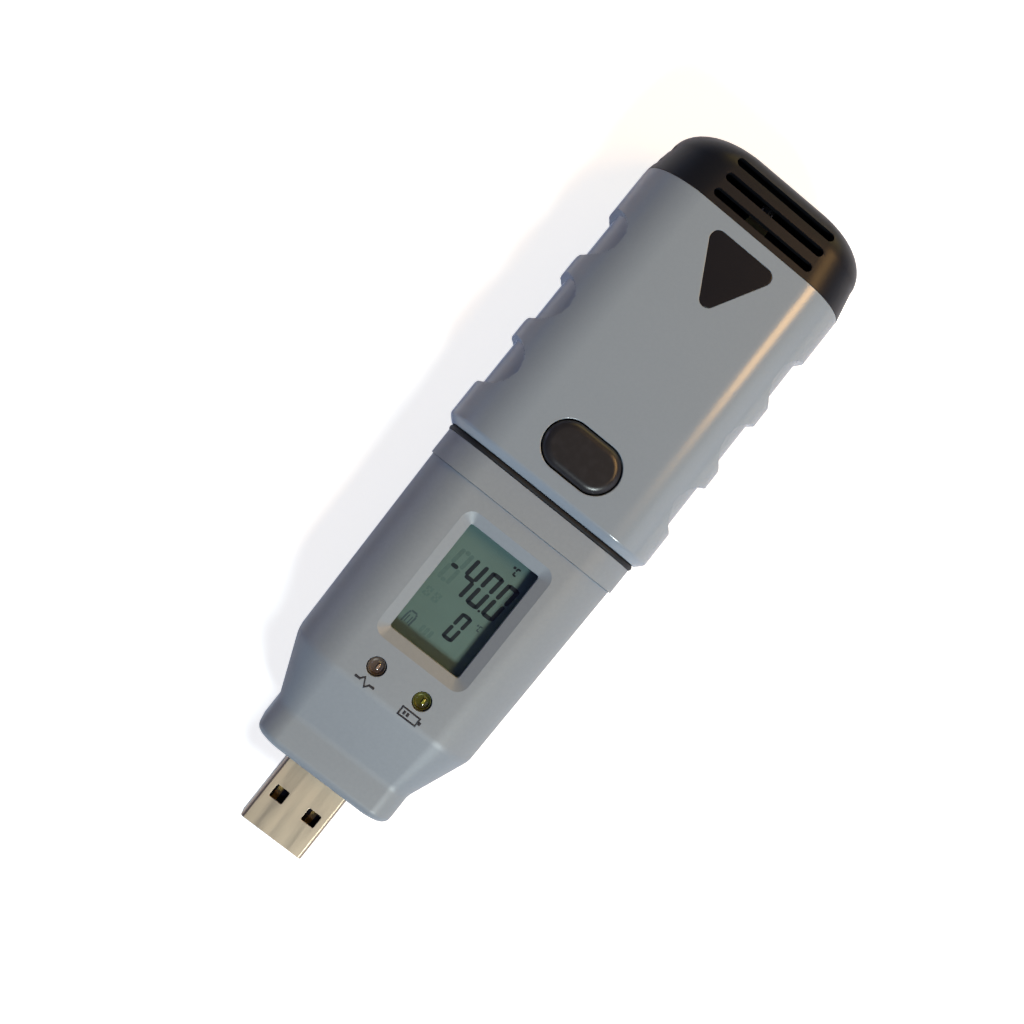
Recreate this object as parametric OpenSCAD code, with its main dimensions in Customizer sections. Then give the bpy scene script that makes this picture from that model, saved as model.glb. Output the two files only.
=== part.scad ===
// Pocket temperature data logger with a USB plug. It lies on its back: +X is to the right of the
// display, +Y runs from the plug to the vent cap and +Z comes out of the front face.
// The origin is under the middle of the whole length, on the plane that it lies on.

/* [Casing] */
// Length of the grip casing, from its mouth to the vent cap
casing_len = 50.9; // [50:0.1:60]
// Width of the casing at its mouth
casing_w = 39.6; // [39:0.1:46]
// Thickness of the casing, front to back
casing_t = 24; // [23.6:0.1:28]
// Corner radius of the casing's cross-section
casing_r = 9.5; // [8:0.1:10]
// How much narrower the casing is on each side where the vent cap starts
casing_draft = 0.3; // [0:0.05:0.6]
// Thickness of the casing's front and back walls
casing_wall = 1.8; // [1.4:0.1:2.2]
// Thickness of the casing's side walls, scoops not counted
side_wall = 2.3; // [1.9:0.1:2.6]
// Chamfer around the casing's mouth
mouth_chamfer = 1.25; // [0.5:0.05:1.5]
// Radius of the finger scoops
scoop_r = 5; // [4:0.1:5.5]
// Distance of a scoop's axis beyond the casing's side
scoop_out = 1.9; // [1:0.1:3]
// Depth of the scoops' floor below the casing's side
scoop_depth = 1.05; // [0.5:0.05:1.3]
// Distance between neighbouring scoops
scoop_pitch = 12.75; // [12:0.05:14]
// Distance of the middle scoop from the casing's mouth
scoop_place = 25.1; // [20:0.1:30]
// Length of the arrow inlay, along the casing
arrow_len = 10.8; // [8:0.1:12]
// Width of the arrow inlay
arrow_w = 11.8; // [8:0.1:13]
// Corner radius of the arrow inlay
arrow_r = 1.4; // [0.5:0.1:2]
// Thickness of the arrow inlay
arrow_t = 0.5; // [0.3:0.1:0.8]
// Distance of the arrow from the vent cap
arrow_place = 2.4; // [2:0.1:6]

/* [Vent cap] */
// Length of the vent cap
cap_len = 11; // [10.5:0.1:14]
// Thickness of the vent cap's wall
cap_wall = 1.5; // [1.2:0.1:1.8]
// Thickness of the ledge that seats the vent cap on the casing
cap_base = 0.8; // [0.6:0.1:0.9]
// Length of the cap's straight lower part
cap_straight = 5; // [4.5:0.1:6]
// How much narrower the straight part gets on each side
cap_draft = 1.05; // [0:0.05:1.2]
// How far the rounded top draws in on each side
cap_round_w = 8.5; // [6:0.1:9]
// How far the rounded top draws in at the front and at the back
cap_round_t = 4.6; // [3:0.1:5]
// Length of the vent slots on the front and the back
slot_len = 19.4; // [10:0.1:21]
// Width of a vent slot
slot_w = 1.65; // [1:0.05:1.9]
// Distance between neighbouring vent slots
slot_pitch = 3.05; // [2.8:0.05:3.2]
// Distance of the first vent slot from the casing
slot_place = 1.8; // [1.7:0.1:2.4]
// Length of the vent slots on the two sides
side_slot_len = 9; // [6:0.1:10]
// Depth to which the vent cap plugs into the casing
cap_plug = 2.5; // [1.5:0.1:2.6]

/* [Button] */
// Length of the button, across the casing
button_w = 13.5; // [10:0.1:14.5]
// Width of the button, along the casing
button_h = 8.1; // [7:0.1:8.5]
// Height to which the button stands out of the casing
button_proud = 0.7; // [0.3:0.1:1]
// Travel of the button
button_travel = 0.5; // [0.3:0.05:0.6]
// Distance of the button from the casing's mouth
button_place = 8; // [7.6:0.1:9.5]
// Height of the push button switch's body above the board
switch_h = 3.5; // [3:0.1:4]
// Side of the push button switch's body
switch_w = 6; // [5:0.1:6.5]

/* [Lower body] */
// Length of the collar between the casing and the lower body
collar_len = 4.6; // [4:0.1:8]
// How far the collar stands back from the casing's side
collar_inset = 1.55; // [1.35:0.05:1.8]
// Height of the seal ring between the casing and the collar
seal_t = 1; // [0.6:0.05:1.6]
// How far the seal ring stands back from the casing's side
seal_inset = 1.3; // [0.8:0.05:1.5]
// Length of the lower body's widest part, between the shoulder and the collar
shell_len = 35.2; // [34.6:0.1:42]
// How far the lower body stands back from the casing's side, at the collar
shell_inset = 1.85; // [1.6:0.05:2]
// How much narrower the lower body is on each side, at the shoulder
shell_draft = 0.6; // [0:0.05:0.8]
// Thickness of the lower body's walls
shell_wall = 1.6; // [1.3:0.1:1.8]
// Corner radius of the lower body's cross-section
shell_r = 8; // [6:0.1:8.5]
// Length of the sloping shoulder
shoulder_len = 10.3; // [9:0.1:12]
// Length of the foot around the plug
foot_len = 6.2; // [5.8:0.1:8]
// Width of the foot
foot_w = 26.1; // [25:0.1:29]
// Thickness of the foot
foot_t = 14; // [13:0.1:16]
// Corner radius of the foot's cross-section
foot_r = 4; // [3.8:0.1:4.5]
// Radius of the foot's end edge
foot_edge = 2; // [1:0.1:2.2]
// Distance of the shell screws from the shoulder
screw_place = 2.6; // [1:0.1:2.8]

/* [Display] */
// Width of the display window
window_w = 13.5; // [11:0.1:14.5]
// Length of the display window
window_len = 20.3; // [18:0.1:20.5]
// Width of the bevel around the window
bevel_w = 1.95; // [1:0.05:2]
// Depth of the bevel
bevel_depth = 0.95; // [0.5:0.05:1]
// Thickness of the clear window
lens_t = 0.8; // [0.6:0.1:1]
// Width of the display glass
glass_w = 17; // [16.5:0.1:17.5]
// Length of the display glass
glass_len = 25; // [24:0.1:25.2]
// Thickness of the display glass
glass_t = 2.2; // [1.6:0.1:2.6]
// Diameter of the two lamps
led_d = 3; // [2:0.1:3.2]
// Length of a lamp's body
led_len = 5.3; // [4.5:0.1:6]
// Distance of the lamps from the middle
led_x = 4.45; // [4:0.05:5.5]
// Distance of the lamps from the display glass
led_place = 3.75; // [2.5:0.05:5]
// Height to which the lamps stand out of the front face
led_proud = 0.3; // [0:0.05:0.8]

/* [USB plug] */
// Length of the plug that stands out of the foot
plug_len = 12.8; // [12:0.1:13.5]
// Length of the plug inside the foot
plug_root = 6; // [5:0.1:6.3]
// Width of the plug
plug_w = 12; // [11.8:0.05:12.2]
// Thickness of the plug
plug_t = 4.5; // [4.4:0.05:4.7]
// Thickness of the plug's sheet metal
plug_sheet = 0.3; // [0.2:0.05:0.4]
// Width of the plug's latch holes
latch_w = 2.5; // [2:0.1:2.8]
// Length of the plug's latch holes
latch_len = 2.3; // [2:0.1:2.6]
// Distance of the latch holes from the middle
latch_x = 3.2; // [2.8:0.1:3.6]
// Distance of the latch holes from the plug's open end
latch_place = 6.4; // [5.5:0.1:7]

/* [Board and cell] */
// Thickness of the circuit board
board_t = 1.6; // [1:0.1:1.8]
// Diameter of the cell
cell_d = 14.5; // [12:0.1:15]
// Length of the cell, contact nub counted
cell_len = 25; // [22:0.1:25.5]
// Wall of the tray that carries the board and the cell
tray_wall = 1.4; // [1:0.1:1.6]

/* [Hidden] */
$fn = 64;

// Overrun of every cut, gap between fitted pieces, gap around moving ones, and a hull's thin slice
cut = 1;
fit = 0.1;
play = 0.3;
slice = 0.01;
form_fn = 32;

// Places along Y, from the plug's open end to the vent cap's top
total_len = plug_len + foot_len + shoulder_len + shell_len + collar_len + seal_t + casing_len + cap_len;
tip_y = -total_len / 2;
foot_y = tip_y + plug_len;
shoulder_y = foot_y + foot_len;
shell_y = shoulder_y + shoulder_len;
seam_y = shell_y + shell_len;
seal_y = seam_y + collar_len;
mouth_y = seal_y + seal_t;
cap_y = mouth_y + casing_len;
mid_z = casing_t / 2;

// Inside of the casing and what slides in it
cavity_w = casing_w - 2 * side_wall;
cavity_t = casing_t - 2 * casing_wall;
cavity_r = casing_r - casing_wall;
spigot_w = cavity_w - 2 * play;
spigot_t = cavity_t - 2 * play;
spigot_r = cavity_r - play;
spigot_len = 1.5;
floor_w = spigot_w - 2 * tray_wall;
floor_t = spigot_t - 2 * tray_wall;
floor_r = spigot_r - tray_wall;

// Lower body
shell_w = casing_w - 2 * shell_inset;
shell_t = casing_t - 2 * shell_inset;
front_z = mid_z + shell_t / 2;
tongue_len = 2.4;
passage_w = shell_w - 2 * (shell_wall + 2 * fit + tray_wall);
passage_t = shell_t - 2 * (shell_wall + fit + tray_wall);
passage_r = floor_r;

// Display stack, from the front face down
lip_t = 0.6;
lens_ledge = 1;
lens_rim = 0.8;
glass_gap = 0.15;
window_y = seam_y - tongue_len - glass_gap - glass_len / 2;
lens_z = front_z - bevel_depth - lip_t - lens_t;
glass_z = lens_z - fit - glass_t;
holder_wall = 1.2;
holder_lip = 0.9;
holder_w = glass_w + 2 * (holder_wall + fit);
holder_len = glass_len + 2 * (holder_wall + fit);
holder_z = glass_z + glass_t - holder_lip;
strip_w = 2.2;
strip_len = 15;

// Board
board_z = mid_z - board_t / 2;
top_z = mid_z + board_t / 2;
pad_t = 0.3;
board_slot_gap = 0.2;
board_foot_gap = 1.05;
board_mid_gap = 2.25;
board_foot_w = foot_w - 2 * (shell_wall + board_foot_gap);
board_mid_w = passage_w - 2 * board_mid_gap;
board_top_w = spigot_w - 2 * play;
ear_y = foot_y + shell_wall + foot_edge + play;
neck_w = 4;
neck_len = 5.5;
bar_w = 2.3;
bar_gap = 0.7;
tray_gap = 1;

// Cell and its seat, placed from the vent cap's rim down
pad_gap = pad_t + 2 * play;
tray_end_y = cap_y - cap_plug - tray_gap;
bar_y = tray_end_y - bar_gap - bar_w;
cell_y = bar_y - pad_gap - cell_len;
cell_gap = 1.05;
cell_x = floor_w / 2 - cell_d / 2 - cell_gap;
cell_side_x = cell_d / 2 - cell_x + 2 * play;
nub_len = 1;
nub_d = 5;
contact_w = 7;
contact_h = 9;
contact_foot = 3.4;
cradle_t = 1.2;
cradle_in = 4;

// Button and switch
button_y = mouth_y + button_place;
button_gap = 0.2;
web_gap = 0.3;
flange_rim = 1.7;
flange_t = 0.8;
peg_d = 0.9;
stem_d = 4;
touch = 0.05;
pocket_floor = 0.8;
flange_z = casing_t - casing_wall - flange_t;
retainer_z = flange_z - flange_t;
actuator_z = retainer_z - play;
actuator_d = 3.5;
cap_base_z = flange_z - fit;
flange_w = button_w + 2 * (web_gap + flange_rim);
flange_h = button_h + 2 * (web_gap + flange_rim);

// Lamps, screws and small parts
led_y = window_y - glass_len / 2 - led_place;
led_flange = 1;
led_rim = 0.4;
lead_w = 0.5;
lead_pitch = 2.54;
screw_d = 2;
screw_head_d = 4;
screw_head_t = 1.4;
screw_end = 4.5;
boss_wall = 1.4;
sink = 3.6;
screw_y = shell_y + screw_place;
boss_r = screw_head_d / 2 + boss_wall;
screw_x = shell_w / 2 - shell_draft - shell_wall - boss_r;
board_low_w = 2 * (screw_x - boss_r - play - touch);
recess_share = 0.3;
board_screw_d = 1.6;
board_head_d = 3.2;
board_head_t = 1.2;
board_screw_len = 5;
board_screw_side = 2.8;
board_screw_x = floor_w / 2 - board_screw_side;
board_screw_in = 5;
far_screw_side = 5.8;
far_screw_x = floor_w / 2 - far_screw_side;
far_screw_in = 4.2;
pillar_d = 3.8;
post_d = 3;
post_side = 3.5;
post_x = board_mid_w / 2 - post_side;
post_in = 5.5;
plug_post_side = 1.6;
plug_post_x = board_low_w / 2 - plug_post_side;
plug_post_in = 5;
board_screw_places = [
    [-board_screw_x, mouth_y + board_screw_in],
    [board_screw_x, mouth_y + board_screw_in],
    [far_screw_x, tray_end_y - far_screw_in]
];
post_places = [for (s = [-1, 1]) each [
    [s * post_x, seam_y - post_in],
    [s * plug_post_x, shoulder_y + plug_post_in]
]];

// Chips, crystal and capacitors, midway between the cell and the board's edge
chip_x = (cell_side_x + board_top_w / 2) / 2;
lead_t = 0.3;
micro_w = 7;
micro_t = 1.1;
micro_pitch = 0.8;
micro_leads = 8;
micro_in = 6;
memory_w = 3.9;
memory_len = 4.9;
memory_t = 1.4;
memory_pitch = 1.27;
memory_leads = 4;
memory_in = 15.5;
regulator_w = 3.5;
regulator_len = 6.5;
regulator_pitch = 2.3;
regulator_leads = 3;
regulator_gap = 0.9;
crystal_len = 11;
crystal_w = 4.4;
crystal_h = 3.5;
crystal_side = 2.8;
crystal_x = board_top_w / 2 - crystal_side - crystal_len / 2;
crystal_y = cell_y - pad_gap - play - crystal_w / 2;
regulator_y = crystal_y - crystal_w / 2 - regulator_gap - lead_w - regulator_w / 2;
capacitor_d = 4;
capacitor_h = 5.4;
capacitor_in = 10.9;
capacitor_pitch = 4.6;

// Plug's insulator and contacts
contact_pitch = 2.25;
contact_strip_w = 1;
contact_t = 0.2;
contact_in = 1.2;
tongue_in = 0.5;

// Sensor in the vent cap
bead_d = 2.6;
bead_gap = 1;
neck_end_y = cap_y + neck_len;

// Cross-sections, drawn with X across and Z up
module rounded_rect(w, t, r) {
    square([w - 2 * r, t], center = true);
    square([w, t - 2 * r], center = true);
    for (sx = [-1, 1], sz = [-1, 1])
        translate([sx * (w / 2 - r), sz * (t / 2 - r)])
            circle(r = r);
}

module stadium(len, w) {
    square([len - w, w], center = true);
    for (s = [-1, 1])
        translate([s * (len - w) / 2, 0])
            circle(d = w);
}

// A cross-section carried along Y
module along_y(y0, y1) {
    translate([0, y1, mid_z])
        rotate([90, 0, 0])
            linear_extrude(y1 - y0)
                children();
}

// A thin slice of a cross-section, for a hull
module station(y, w, t, r) {
    along_y(y - slice / 2, y + slice / 2)
        rounded_rect(w, t, r, $fn = form_fn);
}

module block(x0, x1, y0, y1, z0, z1) {
    translate([x0, y0, z0])
        cube([x1 - x0, y1 - y0, z1 - z0]);
}

module centred_block(w, len, y, z0, z1) {
    block(-w / 2, w / 2, y - len / 2, y + len / 2, z0, z1);
}

module post(d, x, y, z0, z1) {
    translate([x, y, z0])
        cylinder(d = d, h = z1 - z0);
}

// Casing
module casing_form() {
    hull() {
        station(mouth_y + slice / 2, casing_w - 2 * mouth_chamfer, casing_t - 2 * mouth_chamfer,
            casing_r - mouth_chamfer);
        station(mouth_y + mouth_chamfer, casing_w, casing_t, casing_r);
        station(cap_y - slice / 2, casing_w - 2 * casing_draft, casing_t, casing_r);
    }
}

module scoops() {
    difference() {
        for (side = [-1, 1], i = [-1 : 1])
            post(2 * scoop_r, side * (casing_w / 2 + scoop_out), mouth_y + scoop_place + i * scoop_pitch,
                -cut, casing_t + cut);
        along_y(mouth_y, cap_y)
            rounded_rect(casing_w - 2 * scoop_depth, casing_t, casing_r);
    }
}

module arrow_form(z0, z1, grow) {
    top_y = cap_y - arrow_place - arrow_r;
    tip = cap_y - arrow_place - arrow_len + arrow_r;
    half = arrow_w / 2 - arrow_r;
    hull()
        for (p = [[-half, top_y], [half, top_y], [0, tip]])
            post(2 * (arrow_r + grow), p[0], p[1], z0, z1, $fn = form_fn);
}

module button_prism(len, w, z0, z1) {
    translate([0, button_y, z0])
        linear_extrude(z1 - z0)
            stadium(len, w);
}

module peg_posts(d, z0, z1) {
    for (s = [-1, 1])
        post(d, s * (button_w / 2 + web_gap + flange_rim / 2), button_y, z0, z1);
}

module casing_shell() {
    color([0.53, 0.55, 0.58]) {
        difference() {
            casing_form();
            along_y(mouth_y - cut, cap_y + cut)
                rounded_rect(cavity_w, cavity_t, cavity_r);
            scoops();
            button_prism(button_w + 2 * button_gap, button_h + 2 * button_gap, mid_z, casing_t + cut);
            button_prism(flange_w, flange_h, mid_z, flange_z + flange_t);
            arrow_form(casing_t - arrow_t, casing_t + cut, 0);
        }
        peg_posts(peg_d, retainer_z, casing_t - casing_wall + peg_d / 2);
    }
}

module arrow_inlay() {
    color([0.13, 0.13, 0.13])
        arrow_form(casing_t - arrow_t, casing_t, 0);
}

// Vent cap
module cap_form(inset, base_y) {
    w = casing_w - 2 * (casing_draft + inset);
    t = casing_t - 2 * inset;
    r = casing_r - inset;
    top = cap_len - cap_straight - inset;
    hull() {
        station(base_y + slice / 2, w, t, r);
        for (a = [0 : 15 : 90]) {
            in = 1 - cos(a);
            station(cap_y + cap_straight + top * sin(a) - slice / 2,
                w - 2 * cap_draft - 2 * cap_round_w * in,
                t - cap_draft - 2 * cap_round_t * in,
                (r - cap_draft / 2) * (1 - in / 2));
        }
    }
}

// Slots in the front wall and through both side walls; the back is closed
module vent_slots() {
    for (i = [0 : 2]) {
        y = cap_y + slot_place + i * slot_pitch;
        translate([0, y, mid_z])
            linear_extrude(mid_z + cut)
                stadium(slot_len, slot_w);
        translate([-casing_w / 2 - cut, y, mid_z])
            rotate([90, 0, 90])
                linear_extrude(casing_w + 2 * cut)
                    rotate([0, 0, 90])
                        stadium(side_slot_len, slot_w);
    }
}

module vent_cap() {
    color([0.13, 0.13, 0.14])
        difference() {
            union() {
                cap_form(0, cap_y);
                along_y(cap_y - cap_plug, cap_y + slice)
                    rounded_rect(cavity_w - 2 * fit, cavity_t - 2 * fit, cavity_r - fit);
            }
            cap_form(cap_wall, cap_y + cap_base);
            along_y(cap_y - cap_plug - cut, cap_y + cap_base + slice)
                rounded_rect(cavity_w - 2 * fit - 2 * cap_wall, cavity_t - 2 * fit - 2 * cap_wall,
                    cavity_r - fit - cap_wall);
            vent_slots();
        }
}

// Button
module button_flange() {
    color([0.16, 0.16, 0.17])
        difference() {
            flange_ring(flange_z, flange_z + flange_t);
            peg_posts(peg_d + fit, flange_z - cut, flange_z + flange_t + cut);
        }
}

module button_retainer() {
    color([0.3, 0.3, 0.31])
        difference() {
            flange_ring(retainer_z, flange_z);
            peg_posts(peg_d + fit, retainer_z - cut, flange_z + cut);
        }
}

module flange_ring(z0, z1) {
    difference() {
        button_prism(flange_w, flange_h, z0, z1);
        button_prism(button_w + 2 * web_gap, button_h + 2 * web_gap, z0 - cut, z1 + cut);
    }
}

module button_cap() {
    color([0.17, 0.17, 0.18]) {
        hull()
            for (a = [0 : 22.5 : 90]) {
                in = 2 * button_proud * (1 - cos(a));
                z = casing_t - button_proud / 2 + 1.5 * button_proud * sin(a);
                button_prism(button_w - 2 * in, button_h - 2 * in, z - slice, z, $fn = form_fn);
            }
        button_prism(button_w, button_h, cap_base_z, casing_t - button_proud / 2);
        post(stem_d, 0, button_y, actuator_z + touch, cap_base_z);
    }
}

// Lower body, as one solid form drawn in by an inset
module lower_form(inset, top_y) {
    w = foot_w - 2 * inset;
    t = foot_t - 2 * inset;
    r = foot_r - inset;
    hull() {
        for (a = [0 : 22.5 : 90]) {
            in = foot_edge * (1 - cos(a)) * (1 - inset / foot_r);
            station(foot_y + inset + foot_edge * (1 - sin(a)) + slice / 2, w - 2 * in, t - 2 * in, r);
        }
        station(shoulder_y - slice / 2, w, t, r);
    }
    hull() {
        station(shoulder_y + slice / 2, w, t, r);
        station(shell_y, shell_w - 2 * shell_draft - 2 * inset, shell_t - 2 * inset, shell_r - inset);
        station(top_y - slice / 2, shell_w - 2 * inset, shell_t - 2 * inset, shell_r - inset);
    }
}

// Half of the lower body, from the mid plane to z_far, with the children as its bosses
module shell_half(z_far) {
    intersection() {
        lower_form(0, seam_y);
        union() {
            difference() {
                centred_block(casing_w, 2 * total_len, 0, min(mid_z, z_far), max(mid_z, z_far));
                lower_form(shell_wall, seam_y + cut);
            }
            children();
        }
    }
}

module plug_opening() {
    along_y(foot_y - cut, foot_y + plug_root)
        square([plug_w + 2 * fit, plug_t + 2 * fit], center = true);
}

module bezel_cut() {
    hull()
        for (step = [-1, 1]) {
            grow = 2 * bevel_w * (1 - step);
            z = front_z - step * bevel_depth;
            centred_block(window_w + grow, window_len + grow, window_y, z - slice, z);
        }
    centred_block(window_w, window_len, window_y, lens_z, front_z + cut);
    centred_block(window_w + 2 * lens_ledge, window_len + 2 * lens_ledge, window_y, lens_z - cut,
        lens_z + lens_t);
}

module front_shell() {
    rim = 2 * (lens_ledge + lens_rim);
    color([0.55, 0.55, 0.56])
        difference() {
            shell_half(casing_t) {
                centred_block(window_w + rim, window_len + rim, window_y, lens_z, front_z);
                for (s = [-1, 1])
                    post(screw_d + 2 * boss_wall, s * screw_x, screw_y, mid_z, front_z);
            }
            bezel_cut();
            plug_opening();
            for (s = [-1, 1]) {
                post(led_d + 2 * fit, s * led_x, led_y, mid_z, casing_t);
                post(screw_d + fit, s * screw_x, screw_y, mid_z - cut, mid_z + screw_end + fit);
            }
        }
}

module rear_shell() {
    color([0.54, 0.54, 0.55])
        difference() {
            shell_half(0) {
                for (s = [-1, 1])
                    post(2 * boss_r, s * screw_x, screw_y, 0, mid_z);
                for (p = post_places)
                    post(post_d, p[0], p[1], 0, board_z);
            }
            plug_opening();
            for (s = [-1, 1]) {
                post(screw_head_d + 4 * fit, s * screw_x, screw_y, -cut, mid_z - shell_t / 2 + sink);
                post(screw_d + 4 * fit, s * screw_x, screw_y, 0, mid_z + cut);
            }
        }
}

// Chassis: the collar, the spigots at its two ends, and the tray for the board and the cell
module tray_section() {
    rounded_rect(spigot_w, spigot_t, spigot_r);
}

module cell_bar(grow, y0, y1) {
    translate([-cell_x, y1, mid_z])
        rotate([90, 0, 0])
            cylinder(d = cell_d + 2 * grow, h = y1 - y0);
}

module tray_walls() {
    tray_y = mouth_y + spigot_len;
    difference() {
        along_y(tray_y - slice, tray_end_y)
            tray_section();
        along_y(tray_y - cut, tray_end_y - tray_wall)
            rounded_rect(floor_w, floor_t, floor_r);
    }
}

module cradles() {
    for (y = [cell_y + cradle_in, cell_y + cell_len - cradle_in])
        intersection() {
            along_y(y - cradle_t / 2, y + cradle_t / 2)
                tray_section();
            difference() {
                centred_block(casing_w, 2 * cradle_t, y, 0, board_z);
                cell_bar(fit, y - 2 * cradle_t, y + 2 * cradle_t);
            }
        }
}

module chassis() {
    color([0.55, 0.56, 0.57])
        difference() {
            union() {
                along_y(seam_y, seal_y)
                    rounded_rect(casing_w - 2 * collar_inset, casing_t - 2 * collar_inset,
                        casing_r - collar_inset);
                along_y(seal_y - slice, mouth_y + spigot_len)
                    tray_section();
                along_y(seam_y - tongue_len, seam_y + slice)
                    rounded_rect(shell_w - 2 * (shell_wall + 2 * fit), shell_t - 2 * (shell_wall + fit),
                        shell_r - shell_wall);
                difference() {
                    union() {
                        tray_walls();
                        cradles();
                        intersection() {
                            along_y(mouth_y, tray_end_y)
                                tray_section();
                            for (p = board_screw_places)
                                post(pillar_d, p[0], p[1], 0, board_z);
                        }
                    }
                    block(-casing_w, casing_w, mouth_y + spigot_len, tray_end_y + cut, board_z, casing_t);
                }
            }
            along_y(seam_y - tongue_len - cut, mouth_y + spigot_len)
                rounded_rect(passage_w, passage_t, passage_r);
            centred_block(holder_w + 2 * fit, holder_len + 2 * fit, window_y, top_z, holder_z + fit);
            for (p = board_screw_places)
                post(board_screw_d + fit, p[0], p[1], board_z - board_screw_len, board_z + cut);
        }
}

module seal_ring() {
    color([0.16, 0.17, 0.18])
        difference() {
            along_y(seal_y, mouth_y - touch)
                rounded_rect(casing_w - 2 * seal_inset, casing_t - 2 * seal_inset, casing_r - seal_inset);
            along_y(seal_y - cut, mouth_y + cut)
                tray_section();
        }
}

// Display
module display_lens() {
    color([0.75, 0.8, 0.8, 0.4])
        centred_block(window_w + 2 * lens_ledge - 2 * fit, window_len + 2 * lens_ledge - 2 * fit,
            window_y, lens_z, lens_z + lens_t);
}

module display_glass() {
    half_t = glass_t / 2;
    color([0.36, 0.44, 0.4]) {
        centred_block(glass_w, glass_len, window_y, glass_z, glass_z + half_t);
        centred_block(glass_w, glass_len - 2 * strip_w, window_y, glass_z + half_t, glass_z + glass_t);
    }
}

module strip_places() {
    for (s = [-1, 1])
        translate([0, window_y + s * (glass_len / 2 - strip_w), 0])
            children();
}

module display_holder() {
    color([0.85, 0.85, 0.83])
        difference() {
            centred_block(holder_w, holder_len, window_y, top_z, holder_z);
            centred_block(glass_w + 2 * fit, glass_len + 2 * fit, window_y, glass_z, casing_t);
            centred_block(glass_w - 2 * holder_wall, glass_len - 4 * strip_w - 2 * holder_wall, window_y,
                top_z - cut, casing_t);
            strip_places()
                centred_block(strip_len + 2 * fit, strip_w + 2 * fit, 0, top_z - cut, casing_t);
        }
}

module display_connectors() {
    color([0.8, 0.45, 0.5])
        strip_places()
            centred_block(strip_len, strip_w, 0, top_z, glass_z);
}

// Lamps
module lamp(x) {
    top = front_z + led_proud;
    base = top - led_len;
    post(led_d, x, led_y, base, top - led_d / 2);
    post(led_d + 2 * led_rim, x, led_y, base, base + led_flange);
    translate([x, led_y, top - led_d / 2])
        sphere(d = led_d);
    for (s = [-1, 1])
        translate([x + s * lead_pitch / 2 - lead_w / 2, led_y - lead_w / 2, top_z])
            cube([lead_w, lead_w, base - top_z + slice]);
}

module status_lamp() {
    color([0.5, 0.42, 0.38])
        lamp(-led_x);
}

module battery_lamp() {
    color([0.45, 0.46, 0.25])
        lamp(led_x);
}

// USB plug
module plug_shell() {
    in_w = plug_w - 2 * plug_sheet;
    in_t = plug_t - 2 * plug_sheet;
    color([0.69, 0.66, 0.6])
        difference() {
            along_y(tip_y, foot_y + plug_root)
                rounded_rect(plug_w, plug_t, 2 * plug_sheet);
            along_y(tip_y - cut, foot_y + plug_root + cut)
                rounded_rect(in_w, in_t, plug_sheet);
            for (s = [-1, 1])
                translate([s * latch_x, 0, 0])
                    centred_block(latch_w, latch_len, tip_y + latch_place, 0, casing_t);
        }
}

module plug_tongue() {
    root_y = foot_y + plug_root;
    groove_w = contact_strip_w + 2 * fit;
    color([0.12, 0.12, 0.13])
        difference() {
            along_y(tip_y + tongue_in, root_y)
                rounded_rect(plug_w - 2 * plug_sheet - 2 * fit, plug_t - 2 * plug_sheet, plug_sheet);
            block(-plug_w, plug_w, tip_y - cut, foot_y + cut, mid_z - contact_t, mid_z + plug_t);
            for (i = [-1.5 : 1.5])
                translate([i * contact_pitch, 0, 0])
                    centred_block(groove_w, total_len, foot_y, mid_z - contact_t, mid_z + fit);
        }
}

module plug_contacts() {
    root_y = foot_y + plug_root;
    color([0.85, 0.7, 0.35])
        for (i = [-1.5 : 1.5])
            translate([i * contact_pitch - contact_strip_w / 2, 0, 0]) {
                block(0, contact_strip_w, tip_y + contact_in, root_y + contact_t, mid_z - contact_t, mid_z);
                block(0, contact_strip_w, root_y, root_y + contact_t, mid_z - contact_t, top_z + contact_t);
                block(0, contact_strip_w, root_y, root_y + 2 * contact_in, top_z, top_z + contact_t);
            }
}

// Circuit board, one piece from the plug to the sensor
module board_outline() {
    slot_w = plug_w + 2 * board_slot_gap;
    narrow_y = screw_y + screw_head_d;
    wide_y = mouth_y + spigot_len + play;
    difference() {
        union() {
            board_step(board_foot_w, ear_y, shoulder_y + cut);
            board_step(board_low_w, shoulder_y, narrow_y + cut);
            board_step(board_mid_w, narrow_y, wide_y + cut);
            board_step(board_top_w, wide_y, bar_y + bar_w);
            board_step(neck_w, bar_y, neck_end_y);
        }
        board_step(slot_w, tip_y, foot_y + plug_root + contact_t + fit);
        translate([-casing_w, cell_y - pad_gap])
            square([casing_w + cell_side_x, cell_len + 2 * pad_gap]);
        translate([-casing_w, bar_y - cut])
            square([casing_w - board_top_w / 2 + 2 * bar_w, bar_w + 2 * cut]);
    }
}

module board_step(w, y0, y1) {
    translate([-w / 2, y0])
        square([w, y1 - y0]);
}

module main_board() {
    color([0.1, 0.35, 0.2])
        difference() {
            translate([0, 0, board_z])
                linear_extrude(board_t)
                    board_outline();
            for (p = board_screw_places)
                post(board_screw_d + 4 * fit, p[0], p[1], board_z - cut, top_z + cut);
        }
}

// Cell and its two bent contacts
module cell() {
    color([0.2, 0.45, 0.3]) {
        cell_bar(0, cell_y, cell_y + cell_len - nub_len);
        translate([-cell_x, cell_y + cell_len, mid_z])
            rotate([90, 0, 0])
                cylinder(d = nub_d, h = nub_len + slice);
    }
}

module cell_contact(face_y, dir) {
    y0 = min(face_y, face_y + dir * pad_t);
    y1 = min(face_y, face_y + dir * contact_foot);
    translate([-cell_x, 0, 0]) {
        block(-contact_w / 2, contact_w / 2, y0, y0 + pad_t, mid_z - contact_h / 2, mid_z + contact_h / 2);
        block(-contact_w / 2, contact_w / 2, y1, y1 + contact_foot, top_z, top_z + pad_t);
    }
}

module cell_contact_plus() {
    color([0.75, 0.75, 0.72])
        cell_contact(cell_y + cell_len, 1);
}

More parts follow.
